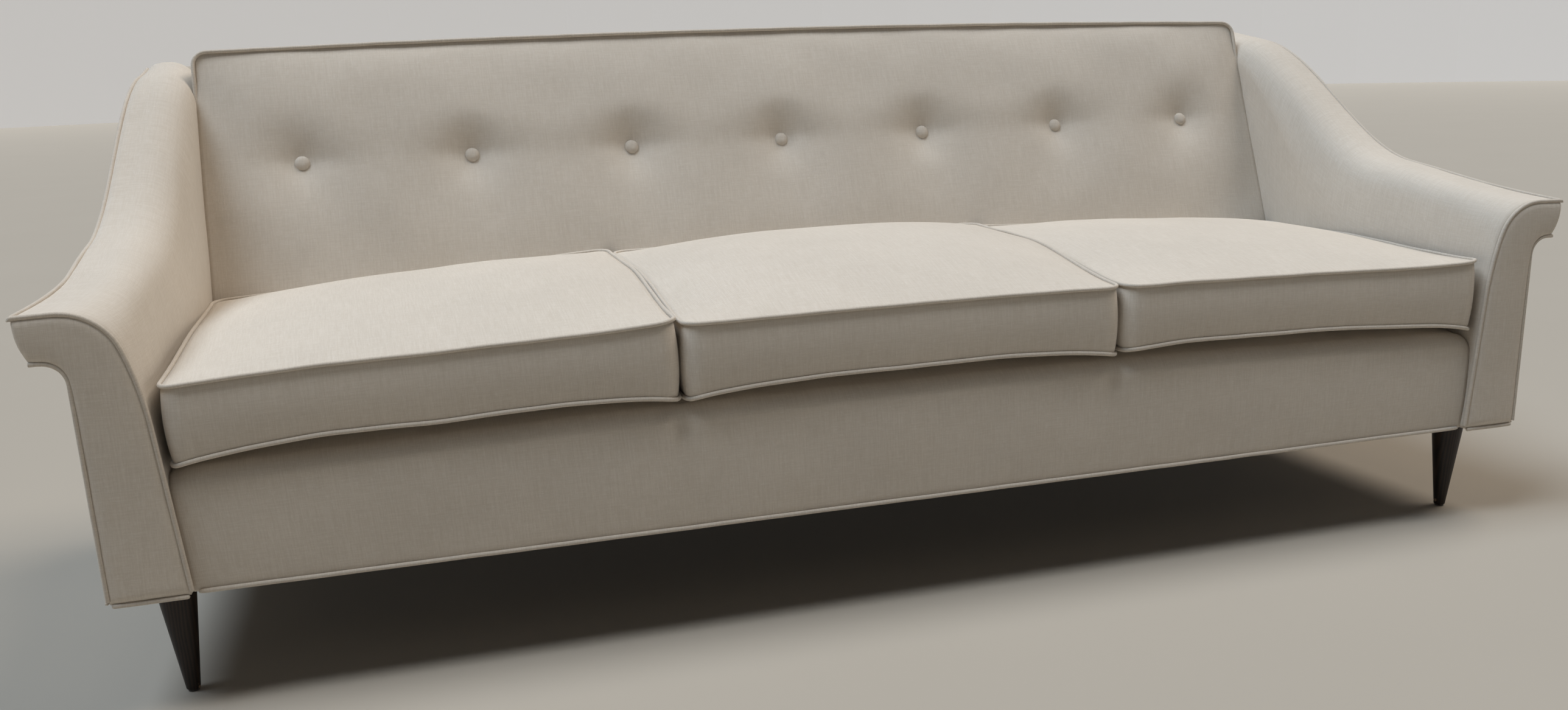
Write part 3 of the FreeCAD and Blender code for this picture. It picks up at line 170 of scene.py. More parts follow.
class Skin:
    """Grids of points that are sewn into one mesh, with a UV map in metres along the cloth."""

    def __init__(self):
        self.points, self.faces, self.cloth = [], [], []

    def grid(self, points, cloth):
        points, cloth = np.asarray(points, float), np.asarray(cloth, float)
        rows, columns = points.shape[:2]
        first = len(self.points)
        self.points.extend(points.reshape(-1, 3).tolist())
        flat = cloth.reshape(-1, 2) * MM
        for r in range(rows - 1):
            for c in range(columns - 1):
                corner = r * columns + c
                ring = (corner, corner + 1, corner + columns + 1, corner + columns)
                self.faces.append([first + n for n in ring])
                self.cloth.extend(flat[n] for n in ring)

    def lid(self, points, cloth):
        first = len(self.points)
        self.points.extend(np.asarray(points, float).tolist())
        self.faces.append([first + n for n in range(len(points))])
        self.cloth.extend(np.asarray(cloth, float) * MM)

    def make(self, name):
        mesh = bpy.data.meshes.new(name)
        mesh.from_pydata(placed(self.points).tolist(), [], self.faces)
        mesh.uv_layers.new(name="UVMap").data.foreach_set("uv", np.array(self.cloth).ravel())
        shape = bmesh.new()
        shape.from_mesh(mesh)
        bmesh.ops.remove_doubles(shape, verts=shape.verts, dist=2e-5)
        bmesh.ops.dissolve_degenerate(shape, edges=shape.edges, dist=1e-6)
        bmesh.ops.recalc_face_normals(shape, faces=shape.faces)
        shape.to_mesh(mesh)
        shape.free()
        mesh.polygons.foreach_set("use_smooth", [True] * len(mesh.polygons))
        piece = bpy.data.objects.new(name, mesh)
        bpy.context.collection.objects.link(piece)
        return piece


def coordinates(piece):
    found = np.empty(len(piece.data.vertices) * 3)
    piece.data.vertices.foreach_get("co", found)
    return found.reshape(-1, 3)


def set_coordinates(piece, points):
    piece.data.vertices.foreach_set("co", np.asarray(points, float).ravel())
    piece.data.update()


def apply_modifier(piece, kind, **settings):
    modifier = piece.modifiers.new(kind.lower(), kind)
    for key, value in settings.items():
        setattr(modifier, key, value)
    bpy.ops.object.select_all(action="DESELECT")
    piece.select_set(True)
    bpy.context.view_layer.objects.active = piece
    bpy.ops.object.modifier_apply(modifier=modifier.name)


def rounded(piece, levels=1):
    apply_modifier(piece, "SUBSURF", levels=levels, render_levels=levels)


def thickened(piece, thickness, outward=False):
    apply_modifier(piece, "SOLIDIFY", thickness=thickness * MM, offset=1.0 if outward else -1.0)


def turn_to(piece, way):
    """Turns the faces of an open sheet so that they point the given way."""
    way = Vector(way)
    if sum(face.normal.dot(way) * face.area for face in piece.data.polygons) < 0:
        piece.data.flip_normals()


def uneven(piece, amount, spacing, seed=0.0):
    """The small hand-made unevenness of filled cloth: a slow wave along the normals."""
    normals = np.empty(len(piece.data.vertices) * 3)
    piece.data.vertices.foreach_get("normal", normals)
    normals = normals.reshape(-1, 3)
    points = coordinates(piece)
    shift = np.array([noise.noise(Vector(p / (spacing * MM)) + Vector((seed, 0, 0))) for p in points])
    set_coordinates(piece, points + normals * (shift * amount * MM)[:, None])


def mirrored(piece, name):
    copy = bpy.data.objects.new(name, piece.data.copy())
    bpy.context.collection.objects.link(copy)
    copy.data.name = name
    points = coordinates(copy)
    points[:, 0] *= -1
    set_coordinates(copy, points)
    copy.data.flip_normals()
    return copy


def inflated(piece, pressure, frames, cap, pins, stiffness=12.0, bending=0.4):
    """Fill a sewn cover: cloth under pressure, with how far each point may move capped in millimetres."""
    start = coordinates(piece)
    held = piece.vertex_groups.new(name="sewn_down")
    for level in np.unique(np.round(pins, 2)):
        if level > 0:
            chosen = np.nonzero(np.round(pins, 2) == level)[0]
            held.add(chosen.tolist(), float(level), "REPLACE")
    cloth = piece.modifiers.new("filling", "CLOTH")
    cloth.settings.quality = 6
    cloth.settings.mass = 0.3
    cloth.settings.tension_stiffness = stiffness
    cloth.settings.compression_stiffness = stiffness
    cloth.settings.shear_stiffness = stiffness / 3
    cloth.settings.bending_stiffness = bending
    cloth.settings.vertex_group_mass = "sewn_down"
    cloth.settings.pin_stiffness = 1.0
    cloth.settings.use_pressure = True
    cloth.settings.uniform_pressure_force = pressure
    cloth.settings.effector_weights.gravity = 0.0
    cloth.collision_settings.use_collision = False
    cloth.point_cache.frame_start = 1
    cloth.point_cache.frame_end = frames
    scene = bpy.context.scene
    for number in range(1, frames + 1):
        scene.frame_set(number)
    result = piece.evaluated_get(bpy.context.evaluated_depsgraph_get()).to_mesh()
    moved = np.empty(len(start) * 3)
    result.vertices.foreach_get("co", moved)
    piece.modifiers.remove(cloth)
    scene.frame_set(1)
    step = moved.reshape(-1, 3) - start
    length = np.linalg.norm(step, axis=1)
    limit = np.asarray(cap, float) * MM
    share = limit * np.tanh(length / limit) / np.maximum(length, 1e-9)
    end = start + step * share[:, None]
    set_coordinates(piece, end)
    return end


# Finishes

def finish_named(name):
    material = bpy.data.materials.new(name)
    material.use_nodes = True
    tree = material.node_tree
    return material, tree, tree.nodes["Principled BSDF"]


def put(tree, kind, **settings):
    node = tree.nodes.new(kind)
    for key, value in settings.items():
        if key.startswith("in_"):
            node.inputs[key[3:]].default_value = value
        else:
            setattr(node, key, value)
    return node


def mapped(tree, scale, source="UV", turn=0.0):
    place = put(tree, "ShaderNodeMapping")
    place.inputs["Scale"].default_value = scale
    place.inputs["Rotation"].default_value = (0, 0, turn)
    where = put(tree, "ShaderNodeTexCoord")
    tree.links.new(where.outputs[source], place.inputs["Vector"])
    return place.outputs["Vector"]


def noise_at(tree, vector, detail=2.0, roughness=0.5, scale=1.0):
    cloud = put(tree, "ShaderNodeTexNoise", in_Scale=scale, in_Detail=detail, in_Roughness=roughness)
    tree.links.new(vector, cloud.inputs["Vector"])
    return cloud.outputs["Fac"]


def spread(tree, value, low, high, to_low=0.0, to_high=1.0):
    change = put(tree, "ShaderNodeMapRange", interpolation_type="SMOOTHSTEP")
    for key, number in (("From Min", low), ("From Max", high), ("To Min", to_low), ("To Max", to_high)):
        change.inputs[key].default_value = number
    tree.links.new(value, change.inputs["Value"])
    return change.outputs["Result"]


def blended(tree, factor, first, second):
    mix = put(tree, "ShaderNodeMix", data_type="RGBA")
    tree.links.new(factor, mix.inputs["Factor"])
    for socket, colour in (("A", first), ("B", second)):
        target = [i for i in mix.inputs if i.name == socket and i.type == "RGBA"][0]
        if isinstance(colour, tuple):
            target.default_value = (*colour, 1)
        else:
            tree.links.new(colour, target)
    return [o for o in mix.outputs if o.type == "RGBA"][0]


def math_of(tree, operation, first, second):
    node = put(tree, "ShaderNodeMath", operation=operation)
    for n, value in enumerate((first, second)):
        if isinstance(value, (int, float)):
            node.inputs[n].default_value = value
        else:
            tree.links.new(value, node.inputs[n])
    return node.outputs[0]


def bumped(tree, shader, height, strength, distance):
    bump = put(tree, "ShaderNodeBump", in_Strength=strength, in_Distance=distance)
    tree.links.new(height, bump.inputs["Height"])
    tree.links.new(bump.outputs["Normal"], shader.inputs["Normal"])


def linen(name, light, dark, fleck, turn=0.0, source="UV"):
    """Plain-weave natural linen: fine threads, thin slubs both ways, soft cloudy shade, a little sheen."""
    material, tree, shader = finish_named(name)
    warp = noise_at(tree, mapped(tree, (900, 90, 90), source, turn), 2.0, 0.65)
    weft = noise_at(tree, mapped(tree, (90, 900, 90), source, turn), 2.0, 0.65)
    warp_slub = noise_at(tree, mapped(tree, (480, 20, 20), source, turn), 2.0, 0.6)
    weft_slub = noise_at(tree, mapped(tree, (24, 480, 24), source, turn), 2.0, 0.6)
    cloud = noise_at(tree, mapped(tree, (4.0, 4.0, 4.0), source, turn), 4.0, 0.6)
    threads = math_of(tree, "ADD", warp, weft)
    slubs = math_of(tree, "ADD", math_of(tree, "MULTIPLY", warp_slub, 1.3), weft_slub)
    base = blended(tree, spread(tree, slubs, 0.85, 1.50), dark, light)
    speck = blended(tree, spread(tree, threads, 0.98, 1.34, 0.0, 0.6), base, fleck)
    shade = spread(tree, cloud, 0.3, 0.7, 0.97, 1.025)
    tint = put(tree, "ShaderNodeVectorMath", operation="SCALE")
    tree.links.new(speck, tint.inputs[0])
    tree.links.new(shade, tint.inputs["Scale"])
    tree.links.new(tint.outputs[0], shader.inputs["Base Color"])
    waves = []
    for way in ("X", "Y"):
        wave = put(tree, "ShaderNodeTexWave", wave_type="BANDS", bands_direction=way, in_Scale=1.0,
                   in_Distortion=1.4, in_Detail=1.0)
        tree.links.new(mapped(tree, (150, 150, 150), source, turn), wave.inputs["Vector"])
        waves.append(wave.outputs["Fac"])
    height = math_of(tree, "ADD", math_of(tree, "MULTIPLY", *waves), math_of(tree, "MULTIPLY", threads, 0.8))
    bumped(tree, shader, height, 0.30, 0.0004)
    shader.inputs["Roughness"].default_value = 0.92
    shader.inputs["Specular IOR Level"].default_value = 0.2
    shader.inputs["Sheen Weight"].default_value = 0.12
    shader.inputs["Sheen Roughness"].default_value = 0.45
    return material


def wood(name, dark, light, roughness, scale=(60, 60, 4.0), coat=0.0, wear=None):
    """Straight grain along Z or another axis, with pores; wear shows pale wood at the lowest edge."""
    material, tree, shader = finish_named(name)
    vector = mapped(tree, scale, "Object")
    rings = put(tree, "ShaderNodeTexWave", wave_type="BANDS", bands_direction="X", in_Scale=1.3,
                in_Distortion=5.0, in_Detail=3.0)
    tree.links.new(vector, rings.inputs["Vector"])
    pores = noise_at(tree, mapped(tree, tuple(7 * s for s in scale), "Object"), 2.0, 0.7)
    mixed = math_of(tree, "ADD", math_of(tree, "MULTIPLY", rings.outputs["Fac"], 0.6),
                    math_of(tree, "MULTIPLY", pores, 0.5))
    colour = blended(tree, spread(tree, mixed, 0.2, 0.9), dark, light)
    if wear:
        where = put(tree, "ShaderNodeTexCoord")
        split = put(tree, "ShaderNodeSeparateXYZ")
        tree.links.new(where.outputs["Object"], split.inputs[0])
        chips = noise_at(tree, mapped(tree, (90, 90, 60), "Object"), 3.0, 0.7)
        low = spread(tree, split.outputs["Z"], 0.004, 0.030, 0.16, 0.0)
        mask = spread(tree, math_of(tree, "ADD", chips, low), 0.74, 0.79)
        colour = blended(tree, mask, colour, wear)
    tree.links.new(colour, shader.inputs["Base Color"])
    bumped(tree, shader, pores, 0.25, 0.0003)
    shader.inputs["Roughness"].default_value = roughness
    shader.inputs["Specular IOR Level"].default_value = 0.35
    shader.inputs["Coat Weight"].default_value = coat
    shader.inputs["Coat Roughness"].default_value = 0.25
    return material


def metal(name, colour, roughness):
    material, tree, shader = finish_named(name)
    spots = noise_at(tree, mapped(tree, (240, 240, 240), "Object"), 3.0, 0.6)
    shade = blended(tree, spread(tree, spots, 0.35, 0.7), tuple(0.82 * c for c in colour), colour)
    tree.links.new(shade, shader.inputs["Base Color"])
    gloss = spread(tree, spots, 0.3, 0.7, roughness - 0.06, roughness + 0.08)
    tree.links.new(gloss, shader.inputs["Roughness"])
    shader.inputs["Metallic"].default_value = 1.0
    bumped(tree, shader, spots, 0.1, 0.0002)
    return material


def matt(name, dark, light, scale, roughness=0.9, strength=0.4, distance=0.0006):
    """Foam, felted cloth, cord or moulded plastic, told apart by the size and depth of the grain."""
    material, tree, shader = finish_named(name)
    grain = noise_at(tree, mapped(tree, scale, "Object"), 4.0, 0.65)
    tree.links.new(blended(tree, spread(tree, grain, 0.3, 0.7), dark, light), shader.inputs["Base Color"])
    bumped(tree, shader, grain, strength, distance)
    shader.inputs["Roughness"].default_value = roughness
    return material


LINEN = linen("natural_linen", (0.672, 0.610, 0.532), (0.618, 0.554, 0.475), (0.735, 0.690, 0.625))
LINEN_CORD = linen("natural_linen_on_the_bias", (0.640, 0.578, 0.500), (0.565, 0.503, 0.428),
                   (0.705, 0.650, 0.580), turn=math.radians(45))
DECKING = linen("plain_decking_cloth", (0.500, 0.440, 0.360), (0.420, 0.366, 0.296), (0.540, 0.480, 0.400))
TAPE = linen("zip_tape_cloth", (0.520, 0.455, 0.370), (0.460, 0.400, 0.320), (0.560, 0.500, 0.410))
ESPRESSO = wood("espresso_stained_leg", (0.007, 0.004, 0.003), (0.024, 0.013, 0.008), 0.46, (55, 55, 5.0),
                0.05, (0.30, 0.20, 0.12))
SAWN = wood("sawn_frame_wood", (0.36, 0.23, 0.12), (0.56, 0.40, 0.24), 0.75, (4.0, 60, 60))
ZINC = metal("zinc_plated_steel", (0.62, 0.62, 0.64), 0.38)
SPRING = metal("oiled_spring_wire", (0.30, 0.30, 0.32), 0.42)
ZIP_METAL = metal("zip_slider_metal", (0.54, 0.52, 0.48), 0.33)
FOAM = matt("open_cell_foam", (0.74, 0.69, 0.56), (0.86, 0.82, 0.70), (420, 420, 420), 0.95, 0.7)
FELT = matt("black_dust_cloth", (0.012, 0.012, 0.013), (0.032, 0.032, 0.034), (300, 300, 300), 0.95, 0.5)
JUTE = matt("jute_webbing", (0.25, 0.18, 0.10), (0.44, 0.34, 0.21), (500, 60, 500), 0.9, 0.8, 0.001)
TWINE = matt("waxed_twine", (0.55, 0.48, 0.36), (0.74, 0.68, 0.56), (600, 600, 200), 0.7)
GLIDE = matt("nylon_glide", (0.060, 0.055, 0.050), (0.090, 0.082, 0.075), (180, 180, 180), 0.45, 0.2)

NODE_FINISHES = {"frame_wood": SAWN, "leg_wood": ESPRESSO, "hardware_steel": ZINC, "spring_steel": SPRING,
                 "zip_metal": ZIP_METAL, "foam": FOAM, "dust_cloth": FELT, "webbing": JUTE, "twine": TWINE,
                 "glide_plastic": GLIDE, "linen": LINEN, "decking_cloth": DECKING, "zip_tape": TAPE}
for part in frame["record"]["subparts"]:
    node = frame["nodes"][part["node"]]
    if not node.material_slots:
        node.data.materials.append(None)
    for place in node.material_slots:
        place.material = NODE_FINISHES[part["material_slot"]]


def dressed(piece, material, body="sofa", stands_for=()):
    piece.data.materials.clear()
    piece.data.materials.append(material)
    if stands_for:
        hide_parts(*stands_for)
    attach(piece, body)
    return piece


# Cords

def tube(name, path, radius, up, closed=False, sides=10):
    """A covered cord along a path in millimetres, with its cloth measured along and around it."""
    path = np.asarray(path, float)
    up = unit(np.asarray(up, float))
    if closed:
        tangents = np.roll(path, -1, 0) - np.roll(path, 1, 0)
        path, tangents = np.vstack([path, path[:1]]), np.vstack([tangents, tangents[:1]])
    else:
        tangents = np.gradient(path, axis=0)
    tangents /= np.linalg.norm(tangents, axis=1)[:, None]
    out = np.cross(tangents, up)
    out /= np.linalg.norm(out, axis=1)[:, None]
    over = np.cross(out, tangents)
    along = lengths_along(path)
    angles = np.linspace(0, 2 * math.pi, sides + 1)
    points, cloth = [], []
    for k in range(len(path)):
        reach = radius * (1 + 0.05 * noise.noise(Vector((along[k] / 9.0, radius, 0.0))))
        points.append([path[k] + reach * (math.cos(a) * out[k] + math.sin(a) * over[k]) for a in angles])
        cloth.append([(along[k], a * radius) for a in angles])
    skin = Skin()
    skin.grid(points, cloth)
    if not closed:
        for end in (0, -1):
            skin.lid(points[end][:-1], cloth[end][:-1])
    return skin.make(name)


# Arms

def run_line(start, end, cells):
    return [start + (end - start) * n / cells for n in range(cells)]


def run_round(hub, start, end, cells):
    a = math.atan2(*(start - hub)[::-1])
    b = math.atan2(*(end - hub)[::-1])
    turn = (b - a + math.pi) % (2 * math.pi) - math.pi
    radius = np.linalg.norm(start - hub)
    return [hub + radius * np.array([math.cos(a + turn * n / cells), math.sin(a + turn * n / cells)])
            for n in range(cells)]


def right_of(way):
    return unit(np.array([way[1], -way[0]]))


def meet(p, along_p, q, along_q):
    """Where a line through p and a line through q cross."""
    cross = along_p[0] * along_q[1] - along_p[1] * along_q[0]
    return p + along_p * (((q[0] - p[0]) * along_q[1] - (q[1] - p[1]) * along_q[0]) / cross)


def moved_from(hub, point, change):
    return point + unit(point - hub) * change


def arm_top(y):
    """Height of the arm's tip at a depth, and how far the swoop has risen there, from 0 to 1."""
    swoop = smooth((y - SWOOP_START) / SWOOP_LENGTH)
    return ARM_FRONT_HEIGHT + ARM_SLOPE * y + SWOOP_RISE * swoop, swoop


def tip_round(y):
    """Radius of the cloth's turn over the arm's outer edge: sharp at the ear, soft at the back."""
    first, last = [smooth((y - start) / length) for start, length in (FIRST_ROUNDING, LAST_ROUNDING)]
    return (TIP_ROUND_FRONT + (TIP_ROUND_MIDDLE - TIP_ROUND_FRONT) * first
            + (TIP_ROUND_REAR - TIP_ROUND_MIDDLE) * last)


def arm_ring(y, inset=0.0):
    """Points round the right arm's outline at a depth.

    They go up the inside, over the top, down the lip, up under it and down the outside, and back
    along the underside."""
    toe = 1 - smooth(y / TOE_LENGTH)
    top, swoop = arm_top(y)
    ear = max(0.0, 1 - y / EAR_LENGTH) ** 2
    tip = (TIP_REAR_X + TIP_TAPER * (1 - smooth((y - TAPER_START) / TAPER_LENGTH))
           + (TIP_X - TIP_REAR_X - TIP_TAPER) * ear)
    base_out = OUTER_REAR_X + OUTER_TOE_OUT * (1 - y / BODY_REAR)
    stem_out = base_out + STEM_FLARE * (1 - swoop)
    overhang = max(tip - stem_out, MIN_OVERHANG)
    shoulder = np.array([tip - SHOULDER_RUN, top + SHOULDER_RISE])
    roll_x = ROLL_X + ROLL_TOE_OUT * toe
    roll_drop = min(ROLL_DROP - ROLL_DROP_LOSS * swoop + ROLL_LENGTH * (1 - swoop),
                    ROLL_RATIO * (shoulder[0] - roll_x))
    base = np.array([INNER_REAR_X + INNER_TOE_OUT * toe, UNDERSIDE])
    roll_start = np.array([roll_x, shoulder[1] - roll_drop])
    tip_top = np.array([tip, top])
    lip_low = np.array([tip - LIP_SLANT * overhang, top - LIP_THICK])

    # Two arcs lead from the inner face to the flat top, and meet where their tangents agree.
    up, out = unit(roll_start - base), unit(tip_top - shoulder)
    chord = shoulder - roll_start
    both = up + out
    spare = 2 * (1 - up @ out)
    reach = (math.sqrt((chord @ both) ** 2 + spare * (chord @ chord)) - chord @ both) / spare
    join = (roll_start + shoulder + (up - out) * reach) * 0.5
    low_hub = roll_start + right_of(up) * ((join - roll_start) @ (join - roll_start)
                                           / (2 * (join - roll_start) @ right_of(up)))
    high_hub = shoulder + right_of(out) * ((join - shoulder) @ (join - shoulder)
                                           / (2 * (join - shoulder) @ right_of(out)))
    down = unit(np.array([base_out - stem_out, UNDERSIDE - lip_low[1]]))
    under_r = UNDER_ROUND * overhang
    stem_top = np.array([stem_out, lip_low[1]])
    under_hub = meet(stem_top - right_of(down) * under_r, down,
                     lip_low - np.array([0, under_r]), np.array([-1.0, 0.0]))
    under_touch = np.array([under_hub[0], lip_low[1]])
    stem_touch = under_hub + right_of(down) * under_r

    roll_in = moved_from(low_hub, roll_start, -inset)
    join_in = moved_from(high_hub, join, -inset)
    shoulder_in = moved_from(high_hub, shoulder, -inset)
    under_in = moved_from(under_hub, under_touch, inset)
    stem_in = moved_from(under_hub, stem_touch, inset)
    level, foot = np.array([1.0, 0.0]), np.array([0.0, UNDERSIDE + inset])
    lip_way = lip_low - tip_top
    foot_in = meet(roll_in, up, foot, level)
    tip_in = meet(shoulder_in, out, tip_top + right_of(lip_way) * inset, lip_way)
    lip_in = meet(tip_in, lip_way, under_in, level)
    foot_out = meet(stem_in, down, foot, level)
    tip_r = tip_round(y)
    tip_hub = meet(tip_in + right_of(out) * tip_r, out, tip_in + right_of(lip_way) * tip_r, unit(lip_way))
    tip_from, tip_to = tip_hub - right_of(out) * tip_r, tip_hub - right_of(lip_way) * tip_r
    ring = np.array(
        run_line(foot_in, roll_in, INNER_CELLS) + run_round(low_hub, roll_in, join_in, ROUND_CELLS)
        + run_round(high_hub, join_in, shoulder_in, ROUND_CELLS) + run_line(shoulder_in, tip_from, TOP_CELLS)
        + run_round(tip_hub, tip_from, tip_to, TIP_CELLS) + run_line(tip_to, lip_in, LIP_CELLS)
        + run_line(lip_in, under_in, UNDER_CELLS) + run_round(under_hub, under_in, stem_in, ROUND_CELLS)
        + run_line(stem_in, foot_out, OUTER_CELLS) + run_line(foot_out, foot_in, LIP_CELLS))
    for n in range(1, LIP_CELLS):
        ring[CHAIN + n] -= right_of(lip_in - tip_to) * LIP_BOW * math.sin(math.pi * n / LIP_CELLS)
    return ring


def chains(ring):
    """The inside and top from the foot to the tip, and the outside from the foot to the lip."""
    return ring[:CHAIN + 1], ring[CHAIN + LIP_CELLS + CHAIN:CHAIN + LIP_CELLS - 1:-1]


def arm_cover():
    skin = Skin()
    depths = ARM_COVER_FRONT + (BODY_REAR - ARM_COVER_FRONT) * np.linspace(0, 1, ARM_STATIONS)
    points, cloth = [], []
    for y in depths:
        ring = arm_ring(y)
        ring = np.vstack([ring, ring[:1]])
        around = lengths_along(ring)
        around -= around[CHAIN]
        points.append([(x, y, z) for x, z in ring])
        cloth.append([(y, u) for u in around])
    skin.grid(points, cloth)
    for y in (depths[0], depths[-1]):
        ring = arm_ring(y)
        inner, outer = chains(ring)
        shares = np.linspace(0, 1, LIP_CELLS + 1)
        rows = [[p + (q - p) * s for s in shares] for p, q in zip(inner, outer)]
        rows[-1] = list(ring[CHAIN:CHAIN + LIP_CELLS + 1])
        skin.grid([[(x, y, z) for x, z in row] for row in rows], rows)
    piece = skin.make("arm_cover_cloth_right")
    rounded(piece)
    return piece


def quarter_round(distance, radius):
    """Height, as a share, of a quarter round at a distance from its edge."""
    return math.sqrt(1 - (1 - min(distance / radius, 1)) ** 2)


def arm_facing():
    """The arm's front panel, filled so that it stands proud of its welts."""
    inner, outer = chains(arm_ring(0.0, FACING_INSET))
    shares = (1 - np.cos(np.linspace(0, math.pi, FACING_ACROSS + 1))) / 2
    along = lengths_along((inner + outer) / 2)
    points, cloth = [], []
    for k in range(CHAIN + 1):
        across = outer[k] - inner[k]
        width = np.linalg.norm(across)
        to_end = min(along[k], along[-1] - along[k])
        bow = -right_of(across) * LIP_BOW * smooth(1 - (along[-1] - along[k]) / LIP_BOW_FADE)
        row = []
        for s in shares:
            x, z = inner[k] + across * s + bow * math.sin(math.pi * s)
            to_side = min(s, 1 - s) * width
            fall = quarter_round(to_side, FACING_SIDE_ROUND) * quarter_round(to_end, FACING_END_ROUND)
            belly = FACING_BELLY * math.sin(math.pi * s) * fall
            row.append((x, FACING_EDGE_Y - FACING_CROWN * fall - belly, z))
        points.append(row)
        cloth.append([(x, z) for x, _, z in row])
    skin = Skin()
    skin.grid(points, cloth)
    back = [[(x, FACING_BACK_Y, z) for x, _, z in row] for row in points]
    skin.grid(back, cloth)
    rim = ((points[0], back[0]), (points[-1], back[-1]),
           ([row[0] for row in points], [row[0] for row in back]),
           ([row[-1] for row in points], [row[-1] for row in back]))
    for pair in rim:
        skin.grid(pair, [[(x, z) for x, _, z in line] for line in pair])
    piece = skin.make("arm_facing_cloth_right")
    rounded(piece)
    return piece


def facing_cord(name, chain):
    """The cord along one edge of the facing, from its foot to the tip of the arm."""
    path = [(x, FACING_CORD_Y, z) for x, z in chain]
    path[0] = (path[0][0], FACING_CORD_Y, FACING_CORD_FOOT)
    piece = tube(name, path, WELT_R, (0, 1, 0))
    rounded(piece)
    return piece


def arm_edge_cord():
    """The cord along the outer edge of the arm's top, from the ear to the back."""
    middle = CHAIN - TIP_CELLS // 2
    path = []
    for y in np.linspace(2.0, BODY_REAR - 3, 150):
        ring = arm_ring(y)
        out = -right_of(ring[middle + 1] - ring[middle - 1])
        x, z = ring[middle] + out * EDGE_CORD_OUT
        path.append((x, y, z))
    piece = tube("arm_welt_edge_right", path, WELT_R, (0, 0, 1))
    rounded(piece)
    return piece


inside_edge, outside_edge = chains(arm_ring(0.0))
right_arm = [arm_cover(), arm_facing(), facing_cord("arm_welt_inside_right", inside_edge),
             facing_cord("arm_welt_outside_right", outside_edge), arm_edge_cord()]
left_arm = [mirrored(piece, piece.name.replace("right", "left")) for piece in right_arm]
for side, (cover, facing, *cords) in (("right", right_arm), ("left", left_arm)):
    uneven(cover, 1.1, 95, 3.0)
    uneven(facing, 0.5, 55, 5.0)
    dressed(cover, LINEN, stands_for=("arm_cover_" + side, "arm_pad_" + side))
    dressed(facing, LINEN, stands_for=("arm_facing_" + side,))
    for cord in cords:
        dressed(cord, LINEN_CORD, stands_for=("arm_welt_" + side,))


# Front rail, decking, outside back and dust cover

def deck_height(x):
    return DECK_CENTRE - DECK_FALL * (x / DECK_HALF) ** 2


def inside_of_arm(y, z):
    """Where the inner face of the arm stands at a depth and a height."""
    ring = arm_ring(y)
    low, high = ring[0], ring[INNER_CELLS]
    return low[0] + (high[0] - low[0]) * min(max((z - low[1]) / (high[1] - low[1]), 0.0), 1.0)


def rail_section(x_share):
    """One line of the rail's cover, from under the body, up the front and over the padded edge.

    The edge stands a little lower than the seat behind it, which leaves a dark slot under the cushions."""
    end_pull = math.exp(-(1 - abs(x_share)) * RAIL_HALF / END_PULL_LENGTH)
    edge = deck_height(x_share * DECK_HALF) - END_PULL * end_pull - EDGE_DROP
    line = [(y, UNDERSIDE + 0.4) for y in np.linspace(EDGE_DEPTH, RAIL_FOOT + 5, 9)]
    line.append((RAIL_FOOT + 1.2, UNDERSIDE + 1.4))
    low, high = UNDERSIDE + 5, edge - EDGE_ROLL
    for s in np.linspace(0, 1, 16):
        y = RAIL_FOOT + (RAIL_FRONT - RAIL_FOOT) * s * s - RAIL_BELLY * math.sin(math.pi * s)
        line.append((y, low + (high - low) * s))
    for a in np.linspace(0, math.pi / 2, 13)[1:]:
        line.append((RAIL_FRONT + EDGE_ROLL * (1 - math.cos(a)), high + EDGE_ROLL * math.sin(a)))
    rolled = RAIL_FRONT + EDGE_ROLL
    for s in np.linspace(0.1, 1, 8):
        line.append((rolled + (EDGE_DEPTH - rolled) * s, edge + EDGE_DROP * smooth(s)))
    return line


def rail_pucker(x, z):
    """The cloth is pulled in a little where two cushions meet above the rail."""
    across = (abs(x) - CENTRE_HALF) / PUCKER_WIDE
    up = (z - deck_height(x) + PUCKER_DROP) / PUCKER_HIGH
    dent = PUCKER_DEPTH * math.exp(-across * across) - PUCKER_LIP * math.exp(-(abs(across) - 1.9) ** 2)
    return math.exp(-up * up) * dent


def rail_cloth():
    inner_at = [inside_of_arm(y, z) - RAIL_EASE for y, z in rail_section(1.0)]
    points, cloth = [], []
    for s in np.linspace(-1, 1, 331):
        line = rail_section(s)
        row = []
        for reach, (y, z) in zip(inner_at, line):
            row.append((s * reach, y + rail_pucker(s * reach, z), z))
        points.append(row)
        cloth.append([(s * RAIL_HALF, u) for u in lengths_along(line)])
    skin = Skin()
    skin.grid(points, cloth)
    piece = skin.make("front_rail_cloth")
    turn_to(piece, (0, -1, 0))
    uneven(piece, 1.3, 80, 11.0)
    thickened(piece, RAIL_CLOTH_T)
    return piece


def deck_cloth():
    depths = np.linspace(EDGE_DEPTH + 1, DECK_REAR, 44)
    points, cloth = [], []
    for s in np.linspace(-1, 1, 161):
        z = deck_height(s * DECK_HALF)
        seam = [SEAM_DIP * math.exp(-(y - EDGE_DEPTH) / SEAM_LENGTH) for y in depths]
        points.append([(s * (inside_of_arm(y, z) - DECK_EASE), y, z - dip) for y, dip in zip(depths, seam)])
        cloth.append([(s * DECK_HALF, y) for y in depths])
    skin = Skin()
    skin.grid(points, cloth)
    piece = skin.make("decking_cloth_panel")
    turn_to(piece, (0, 0, 1))
    uneven(piece, 0.5, 60, 17.0)
    thickened(piece, DECK_CLOTH_T)
    return piece


